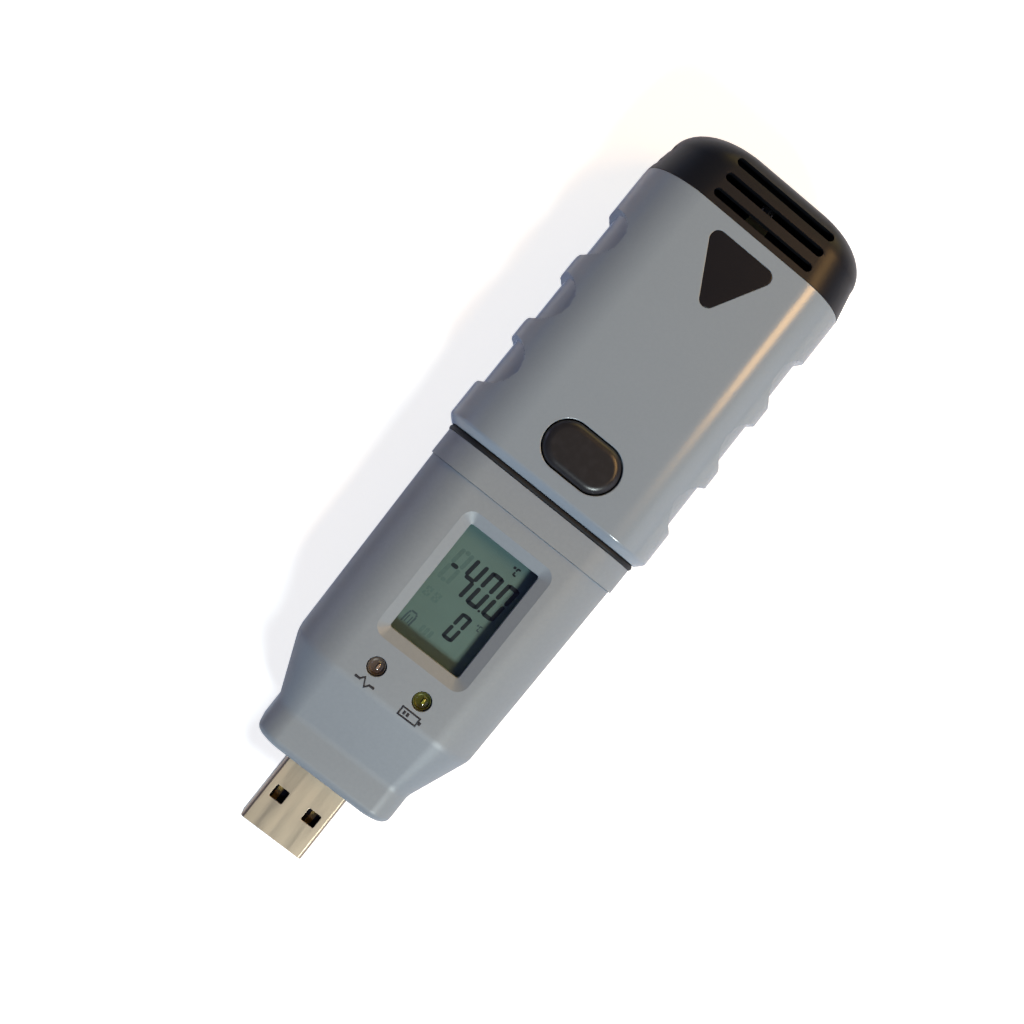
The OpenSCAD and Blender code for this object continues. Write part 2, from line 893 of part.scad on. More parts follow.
module cell_contact_minus() {
    color([0.75, 0.75, 0.72])
        cell_contact(cell_y, -1);
}

// Parts on the board
module chip(w, len, h, leads, pitch) {
    translate([0, 0, top_z]) {
        translate([-w / 2, -len / 2, lead_t])
            cube([w, len, h]);
        for (s = [-1, 1], i = [0 : leads - 1])
            translate([s * w / 2 - lead_w, (i - (leads - 1) / 2) * pitch - lead_t / 2, 0])
                cube([2 * lead_w, lead_t, 2 * lead_t]);
    }
}

module microcontroller() {
    color([0.1, 0.1, 0.1])
        translate([chip_x, cell_y + micro_in, 0])
            chip(micro_w, micro_w, micro_t, micro_leads, micro_pitch);
}

module memory_chip() {
    color([0.12, 0.12, 0.12])
        translate([chip_x, cell_y + memory_in, 0])
            chip(memory_w, memory_len, memory_t, memory_leads, memory_pitch);
}

module voltage_regulator() {
    color([0.12, 0.12, 0.12])
        translate([chip_x, regulator_y, 0])
            rotate([0, 0, 90])
                chip(regulator_w, regulator_len, memory_t, regulator_leads, regulator_pitch);
}

module crystal() {
    color([0.7, 0.7, 0.7])
        translate([crystal_x, crystal_y, top_z])
            linear_extrude(crystal_h)
                stadium(crystal_len, crystal_w);
}

module capacitors() {
    color([0.55, 0.57, 0.6])
        for (i = [0, 1])
            post(capacitor_d, -chip_x + (i - 0.5) * capacitor_pitch, mouth_y + capacitor_in, top_z,
                top_z + capacitor_h);
}

module switch_body() {
    color([0.08, 0.08, 0.08])
        difference() {
            centred_block(switch_w, switch_w, button_y, top_z, top_z + switch_h);
            post(actuator_d + 2 * fit, 0, button_y, top_z + pocket_floor, top_z + switch_h + cut);
        }
}

module switch_actuator() {
    color([0.75, 0.75, 0.7])
        post(actuator_d, 0, button_y, top_z + pocket_floor + button_travel + fit, actuator_z);
}

module temperature_sensor() {
    bead_y = neck_end_y + bead_gap + bead_d / 2;
    color([0.12, 0.12, 0.14]) {
        translate([0, bead_y, mid_z])
            sphere(d = bead_d);
        for (s = [-1, 1])
            translate([s * lead_w - lead_w / 2, neck_end_y, mid_z - lead_w / 2])
                cube([lead_w, bead_gap + bead_d / 2, lead_w]);
    }
}

// Fasteners
module shell_screws() {
    head_z = mid_z - shell_t / 2 + sink;
    color([0.6, 0.6, 0.6])
        for (s = [-1, 1])
            difference() {
                union() {
                    post(screw_head_d, s * screw_x, screw_y, head_z - screw_head_t, head_z);
                    post(screw_d, s * screw_x, screw_y, head_z - slice, mid_z + screw_end);
                }
                cross_recess(s * screw_x, screw_y, head_z - screw_head_t, screw_head_d);
            }
}

module board_screws() {
    color([0.6, 0.6, 0.6])
        for (p = board_screw_places)
            difference() {
                union() {
                    post(board_head_d, p[0], p[1], top_z, top_z + board_head_t);
                    post(board_screw_d, p[0], p[1], board_z - board_screw_len + fit, top_z + slice);
                }
                cross_recess(p[0], p[1], top_z + board_head_t, board_head_d);
            }
}

module cross_recess(x, y, z, d) {
    recess = recess_share * d;
    for (turn = [0, 90])
        translate([x, y, z])
            rotate([0, 0, turn])
                cube([2 * recess, recess / 2, recess], center = true);
}

casing_shell();
vent_cap();
arrow_inlay();
button_flange();
button_retainer();
button_cap();
front_shell();
rear_shell();
chassis();
seal_ring();
display_lens();
display_glass();
display_holder();
display_connectors();
status_lamp();
battery_lamp();
plug_shell();
plug_tongue();
plug_contacts();
main_board();
cell();
cell_contact_plus();
cell_contact_minus();
microcontroller();
memory_chip();
voltage_regulator();
crystal();
capacitors();
switch_body();
switch_actuator();
temperature_sensor();
shell_screws();
board_screws();
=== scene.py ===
import bpy
import math
from mathutils import Matrix, Vector


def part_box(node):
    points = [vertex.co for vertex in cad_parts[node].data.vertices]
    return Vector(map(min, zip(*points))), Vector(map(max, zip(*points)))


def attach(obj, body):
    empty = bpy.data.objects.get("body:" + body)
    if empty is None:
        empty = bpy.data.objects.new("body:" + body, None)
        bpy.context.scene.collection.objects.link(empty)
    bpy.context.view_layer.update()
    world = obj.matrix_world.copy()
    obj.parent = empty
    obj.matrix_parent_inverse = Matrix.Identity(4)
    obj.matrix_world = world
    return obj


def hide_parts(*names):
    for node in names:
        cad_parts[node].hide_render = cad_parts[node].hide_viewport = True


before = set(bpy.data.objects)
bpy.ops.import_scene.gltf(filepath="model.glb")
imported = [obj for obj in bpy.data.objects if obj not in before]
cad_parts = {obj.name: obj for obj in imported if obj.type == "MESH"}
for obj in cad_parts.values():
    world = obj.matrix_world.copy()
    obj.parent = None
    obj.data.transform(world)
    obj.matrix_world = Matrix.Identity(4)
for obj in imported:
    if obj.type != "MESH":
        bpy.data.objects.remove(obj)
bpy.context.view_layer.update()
print("frame loaded", len(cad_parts), "nodes")

mm = 0.001
casingLow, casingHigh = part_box("casing_shell")
shellLow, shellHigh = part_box("front_shell")
midZ = casingHigh.z / 2
mouthY, capY = casingLow.y, casingHigh.y
footY, seamY = shellLow.y, shellHigh.y
frontZ = shellHigh.z
hairGap = 0.1 * mm      # the usual slip between two fitted parts
overrun = 2 * mm        # how far a cutter stands past what it cuts
nearby = 0.02 * mm      # a point this close to a level counts as on it


def inMetres(**sizes):
    # a piece's sizes, written in mm
    return {name: size * mm for name, size in sizes.items()}


# Shader nodes

def isSocket(value):
    return isinstance(value, bpy.types.NodeSocket)


def feed(node, inputs):
    # an input is linked where its value is another node's output, and set otherwise
    for socket, value in inputs.items():
        if isSocket(value):
            node.id_data.links.new(value, node.inputs[socket])
        else:
            node.inputs[socket].default_value = value


def addNode(tree, kind, inputs=None, **settings):
    node = tree.nodes.new("ShaderNode" + kind)
    for setting, value in settings.items():
        setattr(node, setting, value)
    feed(node, inputs or {})
    return node


def newFinish(name):
    finish = bpy.data.materials.new(name)
    finish.use_nodes = True
    return finish, finish.node_tree, finish.node_tree.nodes["Principled BSDF"]


def calculated(tree, operation, first, second):
    return addNode(tree, "Math", {0: first, 1: second}, operation=operation).outputs[0]


def noiseAt(tree, scale, detail=3, stretch=(1, 1, 1)):
    place = addNode(tree, "TexCoord").outputs["Object"]
    spread = addNode(tree, "Mapping", {"Vector": place, "Scale": stretch}).outputs["Vector"]
    return addNode(tree, "TexNoise", {"Vector": spread, "Scale": scale, "Detail": detail}).outputs["Fac"]


def mapped(tree, source, low, high, fromLow=0.3, fromHigh=0.7, **settings):
    ends = {"Value": source, "From Min": fromLow, "From Max": fromHigh, "To Min": low, "To Max": high}
    return addNode(tree, "MapRange", ends, **settings).outputs["Result"]


def blended(tree, share, *colours):
    # in a mix of colours, sockets 6 and 7 are the two colours and 2 is the result
    first, second = [c if isSocket(c) else (*c, 1) for c in colours]
    return addNode(tree, "Mix", {"Factor": share, 6: first, 7: second}, data_type="RGBA").outputs[2]


def bumped(tree, height, strength, deep):
    return addNode(tree, "Bump", {"Height": height, "Strength": strength, "Distance": deep}).outputs["Normal"]


# Camera and light

view = {
    "place": (-0.0226, -0.0022, 0.22915),
    "turn": (-3.152, -4.407, 38.718),
    "lens": 47.34,
    "sensor": 36,
    "clip": (0.01, 10),
}


def setCamera():
    turn = [math.radians(a) for a in view["turn"]]
    bpy.ops.object.camera_add(location=view["place"], rotation=turn)
    camera = bpy.context.object
    camera.name = "photoCamera"
    camera.data.lens = view["lens"]
    camera.data.sensor_width = view["sensor"]
    camera.data.clip_start, camera.data.clip_end = view["clip"]
    bpy.context.scene.camera = camera


studio = {
    "lamps": {                  # each lamp's place, its width and length, its watts and its colour
        "keyWindow": ((0.46, -0.50, 0.78), (0.20, 0.20), 8.1, (0.89, 1.0, 1.0)),
        "warmTube": ((0.328, 0.320, 0.60), (0.17, 0.38), 2.8, (1.0, 0.57, 0.20)),
        "warmBack": ((0.10, 0.90, 0.35), (0.80, 0.40), 2.2, (1.0, 0.74, 0.20)),
        "paleRight": ((0.85, -0.05, 0.40), (0.50, 0.70), 0.9, (0.90, 0.90, 1.0)),
        "lowLeft": ((-0.80, -0.10, 0.12), (0.50, 0.20), 0.45, (0.66, 0.62, 1.0)),
    },
    "aim": (0.0, 0.01, 0.02),
    "sky": (0.050, 0.058, 0.120),
    "lowTone": (0.52, 0.66, 1.0),   # what reflections see low down
    "lowLevel": 0.55,
    "horizon": 0.5,                 # how high up that tone has faded out
}
paper = {
    "size": 3,
    "below": 0.2 * mm,
    "colour": (0.65, 0.65, 0.66),
    "rough": 0.9,
    "glow": 0.80,
    "mirrored": 0.45,           # the share of the glow that reflections see
}


def addLamp(name, place, size, watts, colour):
    bpy.ops.object.light_add(type="AREA", location=place)
    light = bpy.context.object
    light.name = name
    light.data.shape = "RECTANGLE"
    light.data.size, light.data.size_y = size
    light.data.energy = watts
    light.data.color = colour
    # it faces the object, with its length along Y as far as that allows
    away = (Vector(place) - Vector(studio["aim"])).normalized()
    side = Vector((0, 1, 0)).cross(away).normalized()
    light.rotation_euler = Matrix((side, away.cross(side), away)).transposed().to_euler()


def seenBy(tree):
    # whether the camera sees it itself, and whether a reflection or clear plastic shows it
    path = addNode(tree, "LightPath").outputs
    mirrored = calculated(tree, "MAXIMUM", path["Is Glossy Ray"], path["Is Transmission Ray"])
    return path["Is Camera Ray"], mirrored


def setWorld():
    # white to the camera, pale blue low down to reflections; the room's own tone lights the object
    world = bpy.data.worlds.new("paleRoom")
    bpy.context.scene.world = world
    world.use_nodes = True
    tree = world.node_tree
    room = tree.nodes["Background"]
    feed(room, {"Color": (*studio["sky"], 1)})
    direct, mirrored = seenBy(tree)
    direction = addNode(tree, "TexCoord").outputs["Generated"]
    height = addNode(tree, "SeparateXYZ", {0: direction}).outputs["Z"]
    low = mapped(tree, height, studio["lowLevel"], 0, 0, studio["horizon"], interpolation_type="SMOOTHSTEP")
    shown = room.outputs[0]
    lowShare = calculated(tree, "MULTIPLY", mirrored, low)
    for share, colour in ((lowShare, studio["lowTone"]), (direct, (1, 1, 1))):
        added = addNode(tree, "Background", {"Color": (*colour, 1)}).outputs[0]
        shown = addNode(tree, "MixShader", {0: share, 1: shown, 2: added}).outputs[0]
    feed(tree.nodes["World Output"], {"Surface": shown})


def addFloor():
    bpy.ops.mesh.primitive_plane_add(size=paper["size"], location=(0, 0, -paper["below"]))
    floor = bpy.context.object
    floor.name = "paleFloor"
    finish, tree, shader = newFinish("whitePaper")
    direct, mirrored = seenBy(tree)
    seen = calculated(tree, "MAXIMUM", direct, calculated(tree, "MULTIPLY", mirrored, paper["mirrored"]))
    feed(shader, {
        "Base Color": (*paper["colour"], 1),
        "Roughness": paper["rough"],
        "Emission Color": blended(tree, direct, studio["lowTone"], (1, 1, 1)),
        "Emission Strength": calculated(tree, "MULTIPLY", seen, paper["glow"]),
    })
    floor.data.materials.append(finish)


print("camera and lamps")
setCamera()
for lampName, lampSet in studio["lamps"].items():
    addLamp(lampName, *lampSet)
setWorld()
addFloor()
bpy.context.scene.view_settings.view_transform = "Standard"


# Finishes

def linear(colour):
    # from the values of a colour picker, 0 to 255, to what a shader takes
    return [((c / 255 + 0.055) / 1.055) ** 2.4 if c > 10 else c / 255 / 12.92 for c in colour]


def shaded(colour, share):
    return [c * share for c in colour]


def mouldedPlastic(name, colour, rough, grainScale, grain, drift=0.06, speck=0.1, shine=0.5):
    # tone drifts slowly over the moulding, grain is the mould's spark texture
    finish, tree, shader = newFinish(name)
    colour = linear(colour)
    tone = blended(tree, noiseAt(tree, 60, 1), shaded(colour, 1 - drift), shaded(colour, 1 + drift))
    fine = noiseAt(tree, grainScale, 4)
    feed(shader, {
        "Base Color": blended(tree, mapped(tree, fine, 0, speck), tone, shaded(colour, 0.55)),
        "Roughness": mapped(tree, noiseAt(tree, 300, 2), rough - 0.01, rough + 0.02, 0, 1),
        "Specular IOR Level": shine,
        "Normal": bumped(tree, fine, grain, 0.02 * mm),
    })
    return finish


def softRubber(name, colour, dust, rough, grain, shine=0.5):
    finish, tree, shader = newFinish(name)
    dusty = mapped(tree, noiseAt(tree, 900, 5), 0, 0.35, 0.45, 0.75)
    feed(shader, {
        "Base Color": blended(tree, dusty, linear(colour), linear(dust)),
        "Roughness": rough,
        "Specular IOR Level": shine,
        "Normal": bumped(tree, noiseAt(tree, 2600), grain, 0.03 * mm),
    })
    return finish


def plainMetal(name, colour, rough, stretch=(1, 0.06, 1), stain=0.35, grain=0.25):
    # rolled or plated metal: fine lines along the strip and a little tarnish
    finish, tree, shader = newFinish(name)
    colour = linear(colour)
    tarnish = mapped(tree, noiseAt(tree, 220, 5), 0, stain)
    lines = noiseAt(tree, 500, 4, stretch)
    feed(shader, {
        "Metallic": 1,
        "Base Color": blended(tree, tarnish, colour, shaded(colour, 0.72)),
        "Roughness": mapped(tree, lines, rough - 0.06, rough + 0.1),
        "Normal": bumped(tree, lines, grain, 0.01 * mm),
    })
    return finish


def clearPlastic(name, tint, rough, headOn=0.04):
    # a thin clear sheet: what lies behind it shows straight through, and its face mirrors the room
    finish, tree, shader = newFinish(name)
    tree.nodes.remove(shader)
    through = addNode(tree, "BsdfTransparent", {"Color": (*linear(tint), 1)})
    mirror = addNode(tree, "BsdfGlossy", {"Roughness": mapped(tree, noiseAt(tree, 400), rough, rough + 0.05)})
    # mirror share after Schlick, the same from inside, so that a low view still sees through both faces
    facing = addNode(tree, "LayerWeight", {"Blend": 0.5}).outputs["Facing"]
    steep = calculated(tree, "MULTIPLY", calculated(tree, "POWER", facing, 5), 1 - headOn)
    share = calculated(tree, "ADD", steep, headOn)
    mix = addNode(tree, "MixShader", {0: share, 1: through.outputs[0], 2: mirror.outputs[0]})
    feed(tree.nodes["Material Output"], {"Surface": mix.outputs[0]})
    return finish


def inkFinish(name, colour, rough=0.45):
    finish, tree, shader = newFinish(name)
    ink = linear(colour)
    patchy = mapped(tree, noiseAt(tree, 1500), 0, 0.35)
    feed(shader, {
        "Base Color": blended(tree, patchy, ink, [c * 1.3 + 0.004 for c in ink]),
        "Roughness": rough,
        "Specular IOR Level": 0.25,
    })
    return finish


def displayFinish(name, colour, rough):
    # the reflector behind the cells: fine horizontal brushing with a slow change of tone
    finish, tree, shader = newFinish(name)
    colour = linear(colour)
    slow = mapped(tree, noiseAt(tree, 110, 2), 0, 1)
    brushed = noiseAt(tree, 2200, 3, (0.2, 1, 1))
    tone = blended(tree, slow, shaded(colour, 0.93), shaded(colour, 1.07))
    feed(shader, {
        "Base Color": blended(tree, mapped(tree, brushed, 0, 0.12), tone, shaded(colour, 0.7)),
        "Roughness": rough,
        "Normal": bumped(tree, brushed, 0.1, 0.01 * mm),
    })
    return finish


# Modelling kit

turns = {"x": (0, math.pi / 2, 0), "y": (math.pi / 2, 0, 0), "z": (0, 0, 0)}
fineRound, plainRound = 0.4995, 0.499       # a round outline's corners, as a share of its width


def onlySelect(*pieces):
    bpy.ops.object.select_all(action="DESELECT")
    for piece in pieces:
        piece.select_set(True)
    if pieces:
        bpy.context.view_layer.objects.active = pieces[0]


def selectMesh():
    bpy.ops.mesh.select_all(action="SELECT")


def openMesh():
    bpy.ops.object.mode_set(mode="EDIT")
    selectMesh()


def closeMesh():
    bpy.ops.object.mode_set(mode="OBJECT")


def faceOutward():
    selectMesh()
    bpy.ops.mesh.normals_make_consistent(inside=False)
    closeMesh()


def settle(name):
    # moves the place of the form just drawn into its mesh
    bpy.ops.object.transform_apply(location=True, rotation=True, scale=True)
    form = bpy.context.object
    form.name = form.data.name = name
    return form


def span(low, high):
    return [b - a for a, b in zip(low, high)]


def middleOf(node):
    low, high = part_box(node)
    return (low + high) / 2


def arc(steps, degrees=90):
    # sine and cosine at even steps from 0
    angles = [math.radians(degrees * i / steps) for i in range(steps + 1)]
    return [(math.sin(a), math.cos(a)) for a in angles]


def ringAlongY(y, wide, thick, corner):
    return (0, y, midZ), (wide, 1, thick), corner


def ringAlongZ(place, z, wide, long, corner):
    return (place[0], place[1], z), (wide, long, 1), corner


def roundRing(place, z, wide):
    return ringAlongZ(place, z, wide, wide, wide * fineRound)


def loft(name, rings, across="y", segments=8):
    # a closed form through rounded rectangles: planes with bevelled corners, of which the rims are kept
    onlySelect()
    for i, (centre, size, corner) in enumerate(rings):
        bpy.ops.mesh.primitive_plane_add(size=1, location=centre, rotation=turns[across])
        if i == 0:
            openMesh()
        bpy.ops.transform.resize(value=size, center_override=centre)
        bpy.ops.mesh.bevel(offset_type="OFFSET", offset=corner, segments=segments, affect="VERTICES",
                           profile=0.5, clamp_overlap=False)
        bpy.ops.mesh.delete(type="ONLY_FACE")
    selectMesh()
    bpy.ops.mesh.bridge_edge_loops()
    bpy.ops.mesh.select_all(action="DESELECT")
    bpy.ops.mesh.select_non_manifold()
    bpy.ops.mesh.fill_holes(sides=0)
    faceOutward()
    return settle(name)


def tube(name, wide, thick, corner, ends, segments):
    # one outline from end to end along Y
    return loft(name, [ringAlongY(y, wide, thick, corner) for y in ends], "y", segments)


def post(name, place, wide, long, corner, ends, segments):
    # one outline from end to end along Z
    return loft(name, [ringAlongZ(place, z, wide, long, corner) for z in ends], "z", segments)


def softenProfile(stations, reach, steps=4, most=0.45):
    # swaps each inner corner of a profile for a short curve, over at most this share of its sides
    points = [Vector(s) for s in stations]
    soft = [points[0]]
    for before, here, after in zip(points, points[1:], points[2:]):
        start = here.lerp(before, min(most, reach / abs(here[0] - before[0])))
        end = here.lerp(after, min(most, reach / abs(after[0] - here[0])))
        for i in range(steps + 1):
            t = i / steps
            soft.append(start.lerp(here, t).lerp(here.lerp(end, t), t))
    return soft + [points[-1]]


def applyModifier(piece, kind, **settings):
    modifier = piece.modifiers.new(kind.lower(), kind)
    for setting, value in settings.items():
        setattr(modifier, setting, value)
    onlySelect(piece)
    bpy.ops.object.modifier_apply(modifier=modifier.name)


def combine(piece, operation, *others):
    for other in others:
        applyModifier(piece, "BOOLEAN", operation=operation, object=other, solver="EXACT")
        bpy.data.objects.remove(other)


def cutAway(piece, *cutters):
    combine(piece, "DIFFERENCE", *cutters)


def flattenFaces(piece, limit=0.3):
    # merges faces that lie in one plane
    onlySelect(piece)
    openMesh()
    bpy.ops.mesh.dissolve_limited(angle_limit=math.radians(limit))
    closeMesh()


def bevelEdges(piece, width, segments=2, sharp=40, where=None):
    # of the edges sharper than so many degrees, those with both ends where the test says
    onlySelect(piece)
    bpy.ops.object.mode_set(mode="EDIT")
    bpy.ops.mesh.select_mode(type="EDGE")
    bpy.ops.mesh.select_all(action="DESELECT")
    bpy.ops.mesh.edges_select_sharp(sharpness=math.radians(sharp))
    if where:
        closeMesh()
        points = piece.data.vertices
        for edge in piece.data.edges:
            if edge.select:
                edge.select = all(where(points[i].co) for i in edge.vertices)
        for part in (*points, *piece.data.polygons):
            part.select = False
        bpy.ops.object.mode_set(mode="EDIT")
    bpy.ops.mesh.bevel(offset=width, segments=segments, affect="EDGES", clamp_overlap=True)
    closeMesh()


def smoothShade(piece, angle=35):
    onlySelect(piece)
    bpy.ops.object.shade_smooth_by_angle(angle=math.radians(angle))
    applyModifier(piece, "WEIGHTED_NORMAL", keep_sharp=True)
    return piece


def finishPiece(piece, finish, slot, node=None, body="logger"):
    piece.data.materials.clear()
    piece.data.materials.append(finish)
    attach(piece, body)
    if node:
        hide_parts(node)


def joinPieces(first, *others):
    onlySelect(first, *others)
    bpy.ops.object.join()
    return first


def addObject(name, data):
    piece = bpy.data.objects.new(name, data)
    bpy.context.scene.collection.objects.link(piece)
    onlySelect(piece)
    return piece


# Grip casing: a sleeve with three finger scoops on each side

grip = inMetres(
    draft=0.3,              # per side, from the mouth to the cap
    scoopOut=1.1,           # the scoop's axis beyond the side
    scoopPlace=25.1,        # the middle scoop from the mouth
    scoopSlope=0.55,        # width of a scoop's sloping rim
    scoopRadius=4.9, scoopDepth=1.05, scoopPitch=12.75, ringStep=0.25,
    corner=9.5, wall=1.8, sideWall=2.3, mouthChamfer=1.25, soft=0.35,
    openingEdge=0.28, pocketEdge=0.10, endEdge=0.16,
)
grip["finish"] = dict(colour=(136, 148, 160), rough=0.20, grainScale=2400, grain=0.06, drift=0.02,
                      speck=0.06, shine=0.65)
casingWide, _, casingThick = span(casingLow, casingHigh)
boreWide = casingWide - 2 * grip["sideWall"]
boreThick = casingThick - 2 * grip["wall"]
boreCorner = grip["corner"] - grip["wall"]
aboveFront = casingThick + overrun


def gripRings():
    chamfer, corner = grip["mouthChamfer"], grip["corner"]
    ends = softenProfile([
        (mouthY, casingWide - 2 * chamfer, casingThick - 2 * chamfer, corner - chamfer),
        (mouthY + chamfer, casingWide, casingThick, corner),
        (capY, casingWide - 2 * grip["draft"], casingThick, corner),
    ], grip["soft"])
    lowest, highest = ends[-2], ends[-1]
    # close rings where the scoops are sunk in
    reach = grip["scoopPitch"] + grip["scoopRadius"] + grip["ringStep"]
    first = mouthY + grip["scoopPlace"] - reach
    count = round(2 * reach / grip["ringStep"])
    between = []
    for i in range(count + 1):
        y = first + 2 * reach * i / count
        between.append(lowest.lerp(highest, (y - lowest[0]) / (highest[0] - lowest[0])))
    return [ringAlongY(*s) for s in ends[:-1] + between + [highest]]


def scoopWeight(point, side):
    if point.x * side < 0:
        return 0
    weight = 0
    for i in (-1, 0, 1):
        axis = Vector((side * (casingWide / 2 + grip["scoopOut"]),
                       mouthY + grip["scoopPlace"] + i * grip["scoopPitch"]))
        inside = (grip["scoopRadius"] - (point.xy - axis).length) / grip["scoopSlope"]
        step = min(1, max(0, inside))
        weight = max(weight, step * step * (3 - 2 * step))
    return weight


def sinkScoops(casing):
    for side, word in ((-1, "left"), (1, "right")):
        scoops = casing.vertex_groups.new(name=word + "Scoops")
        for point in casing.data.vertices:
            weight = scoopWeight(point.co, side)
            if weight:
                scoops.add([point.index], weight, "REPLACE")
        applyModifier(casing, "DISPLACE", direction="X", mid_level=0, strength=-side * grip["scoopDepth"],
                      vertex_group=scoops.name)
    casing.vertex_groups.clear()


arrowLow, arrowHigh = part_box("arrow_inlay")
buttonLow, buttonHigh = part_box("button_cap")
flangeLow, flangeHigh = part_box("button_flange")
buttonMiddle = middleOf("button_cap")
button = inMetres(gap=0.2, roundWide=1.4, roundDeep=1.05, stem=4, stemEdge=0.3)
button["finish"] = dict(colour=(34, 34, 36), dust=(50, 50, 54), rough=0.30, grain=0.12, shine=0.4)
arrow = inMetres(corner=1.4, softEdge=0.08, gap=0.03)
arrow["finish"] = dict(colour=(24, 24, 25), rough=0.20, grainScale=2200, grain=0.08, speck=0.05)


def ovalRing(low, high, z, grow=0):
    wide, long, _ = span(low, high)
    return ringAlongZ((low + high) / 2, z, wide + 2 * grow, long + 2 * grow, (long + 2 * grow) * fineRound)


def arrowForm(name, low, high, grow=0):
    # a triangle stretched over three corner discs, pointing at the plug
    corner = arrow["corner"]
    half = (arrowHigh.x - arrowLow.x) / 2 - corner
    top, tip = arrowHigh.y - corner, arrowLow.y + corner
    onlySelect()
    for i, (x, y) in enumerate([(-half, top), (half, top), (0, tip)]):
        bpy.ops.mesh.primitive_cylinder_add(vertices=48, radius=corner + grow, depth=high - low,
                                            location=(x, y, (low + high) / 2))
        if i == 0:
            bpy.ops.object.mode_set(mode="EDIT")
    selectMesh()
    bpy.ops.mesh.convex_hull()
    bpy.ops.mesh.dissolve_limited(angle_limit=math.radians(0.3))
    closeMesh()
    return settle(name)


def makeGrip():
    casing = loft("gripCasing", gripRings(), segments=30)
    sinkScoops(casing)
    flattenFaces(casing)
    cavity = tube("cavity", boreWide, boreThick, boreCorner, (mouthY - overrun, capY + overrun), 16)
    rings = [ovalRing(buttonLow, buttonHigh, z, button["gap"]) for z in (midZ, aboveFront)]
    well = loft("well", rings, "z", 16)
    seat = loft("seat", [ovalRing(flangeLow, flangeHigh, z) for z in (midZ, flangeHigh.z)], "z", 12)
    pocket = arrowForm("pocket", arrowLow.z, aboveFront, arrow["gap"])
    cutAway(casing, cavity, well, seat, pocket)
    frontLevel, frontHalf = casingThick - 0.05 * mm, 8 * mm
    parting = buttonMiddle.y + 5 * mm       # between the button and the arrow

    def onFront(point):
        return point.z > frontLevel and abs(point.x) < frontHalf

    bevelEdges(casing, grip["openingEdge"], 3, where=lambda p: onFront(p) and p.y < parting)
    bevelEdges(casing, grip["pocketEdge"], where=lambda p: onFront(p) and p.y > parting)
    bevelEdges(casing, grip["endEdge"], where=lambda p: p.y < mouthY + nearby or p.y > capY - nearby)
    return smoothShade(casing)


print("grip casing")
casingFinish = mouldedPlastic("casingPlastic", **grip["finish"])
finishPiece(makeGrip(), casingFinish, "casing_plastic", "casing_shell", "casing")


def makeArrow():
    inlay = arrowForm("arrowInlay", arrowLow.z, arrowHigh.z)
    bevelEdges(inlay, arrow["softEdge"], 3, where=lambda p: p.z > arrowHigh.z - hairGap)
    return smoothShade(inlay)


def makeButton():
    # the pad's side, then a quarter round, then the flat top
    base = flangeHigh.z - hairGap / 2
    rings = [ovalRing(buttonLow, buttonHigh, base)]
    for sine, cosine in arc(steps=8):
        z = buttonHigh.z - button["roundDeep"] * (1 - sine)
        rings.append(ovalRing(buttonLow, buttonHigh, z, -button["roundWide"] * (1 - cosine)))
    pad = loft("buttonPad", rings, "z", 14)
    wide = button["stem"]
    stem = post("stem", buttonMiddle, wide, wide, wide * plainRound, (buttonLow.z, base + 2 * hairGap), 8)
    bevelEdges(stem, button["stemEdge"])
    return smoothShade(joinPieces(pad, stem))


print("arrow and button")
blackFinish = mouldedPlastic("blackPlastic", **arrow["finish"])
padFinish = softRubber("padRubber", **button["finish"])
finishPiece(makeArrow(), blackFinish, "black_plastic", "arrow_inlay", "casing")
finishPiece(makeButton(), padFinish, "black_rubber", "button_cap", "button")


# Vent cap

capLow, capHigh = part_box("vent_cap")
cap = inMetres(
    lift=0.02,              # keeps it clear of the casing's end
    wall=1.5, straight=5, draft=1.05, roundWide=8.5, roundThick=4.6, base=0.8, shellEdge=0.2, neckEdge=0.15,
    slotLong=19.4, slotWide=1.5, slotPitch=3.05, slotPlace=1.8, sideSlotLong=9,
)
cap["slots"] = 3
cap["finish"] = dict(colour=(22, 24, 29), rough=0.36, grainScale=1900, grain=0.10, speck=0.06, shine=0.28)


def capRings(inset, baseY):
    wide = casingWide - 2 * grip["draft"] - 2 * inset
    thick = casingThick - 2 * inset
    corner = grip["corner"] - inset
    top = capHigh.y - capY - cap["straight"] - inset
    rings = [ringAlongY(baseY, wide, thick, corner)]
    for sine, cosine in arc(steps=12):
        drawn = 1 - cosine
        rings.append(ringAlongY(
            capY + cap["straight"] + top * sine,
            wide - 2 * cap["draft"] - 2 * cap["roundWide"] * drawn,
            thick - cap["draft"] - 2 * cap["roundThick"] * drawn,
            (corner - cap["draft"] / 2) * (1 - drawn / 2)))
    return rings


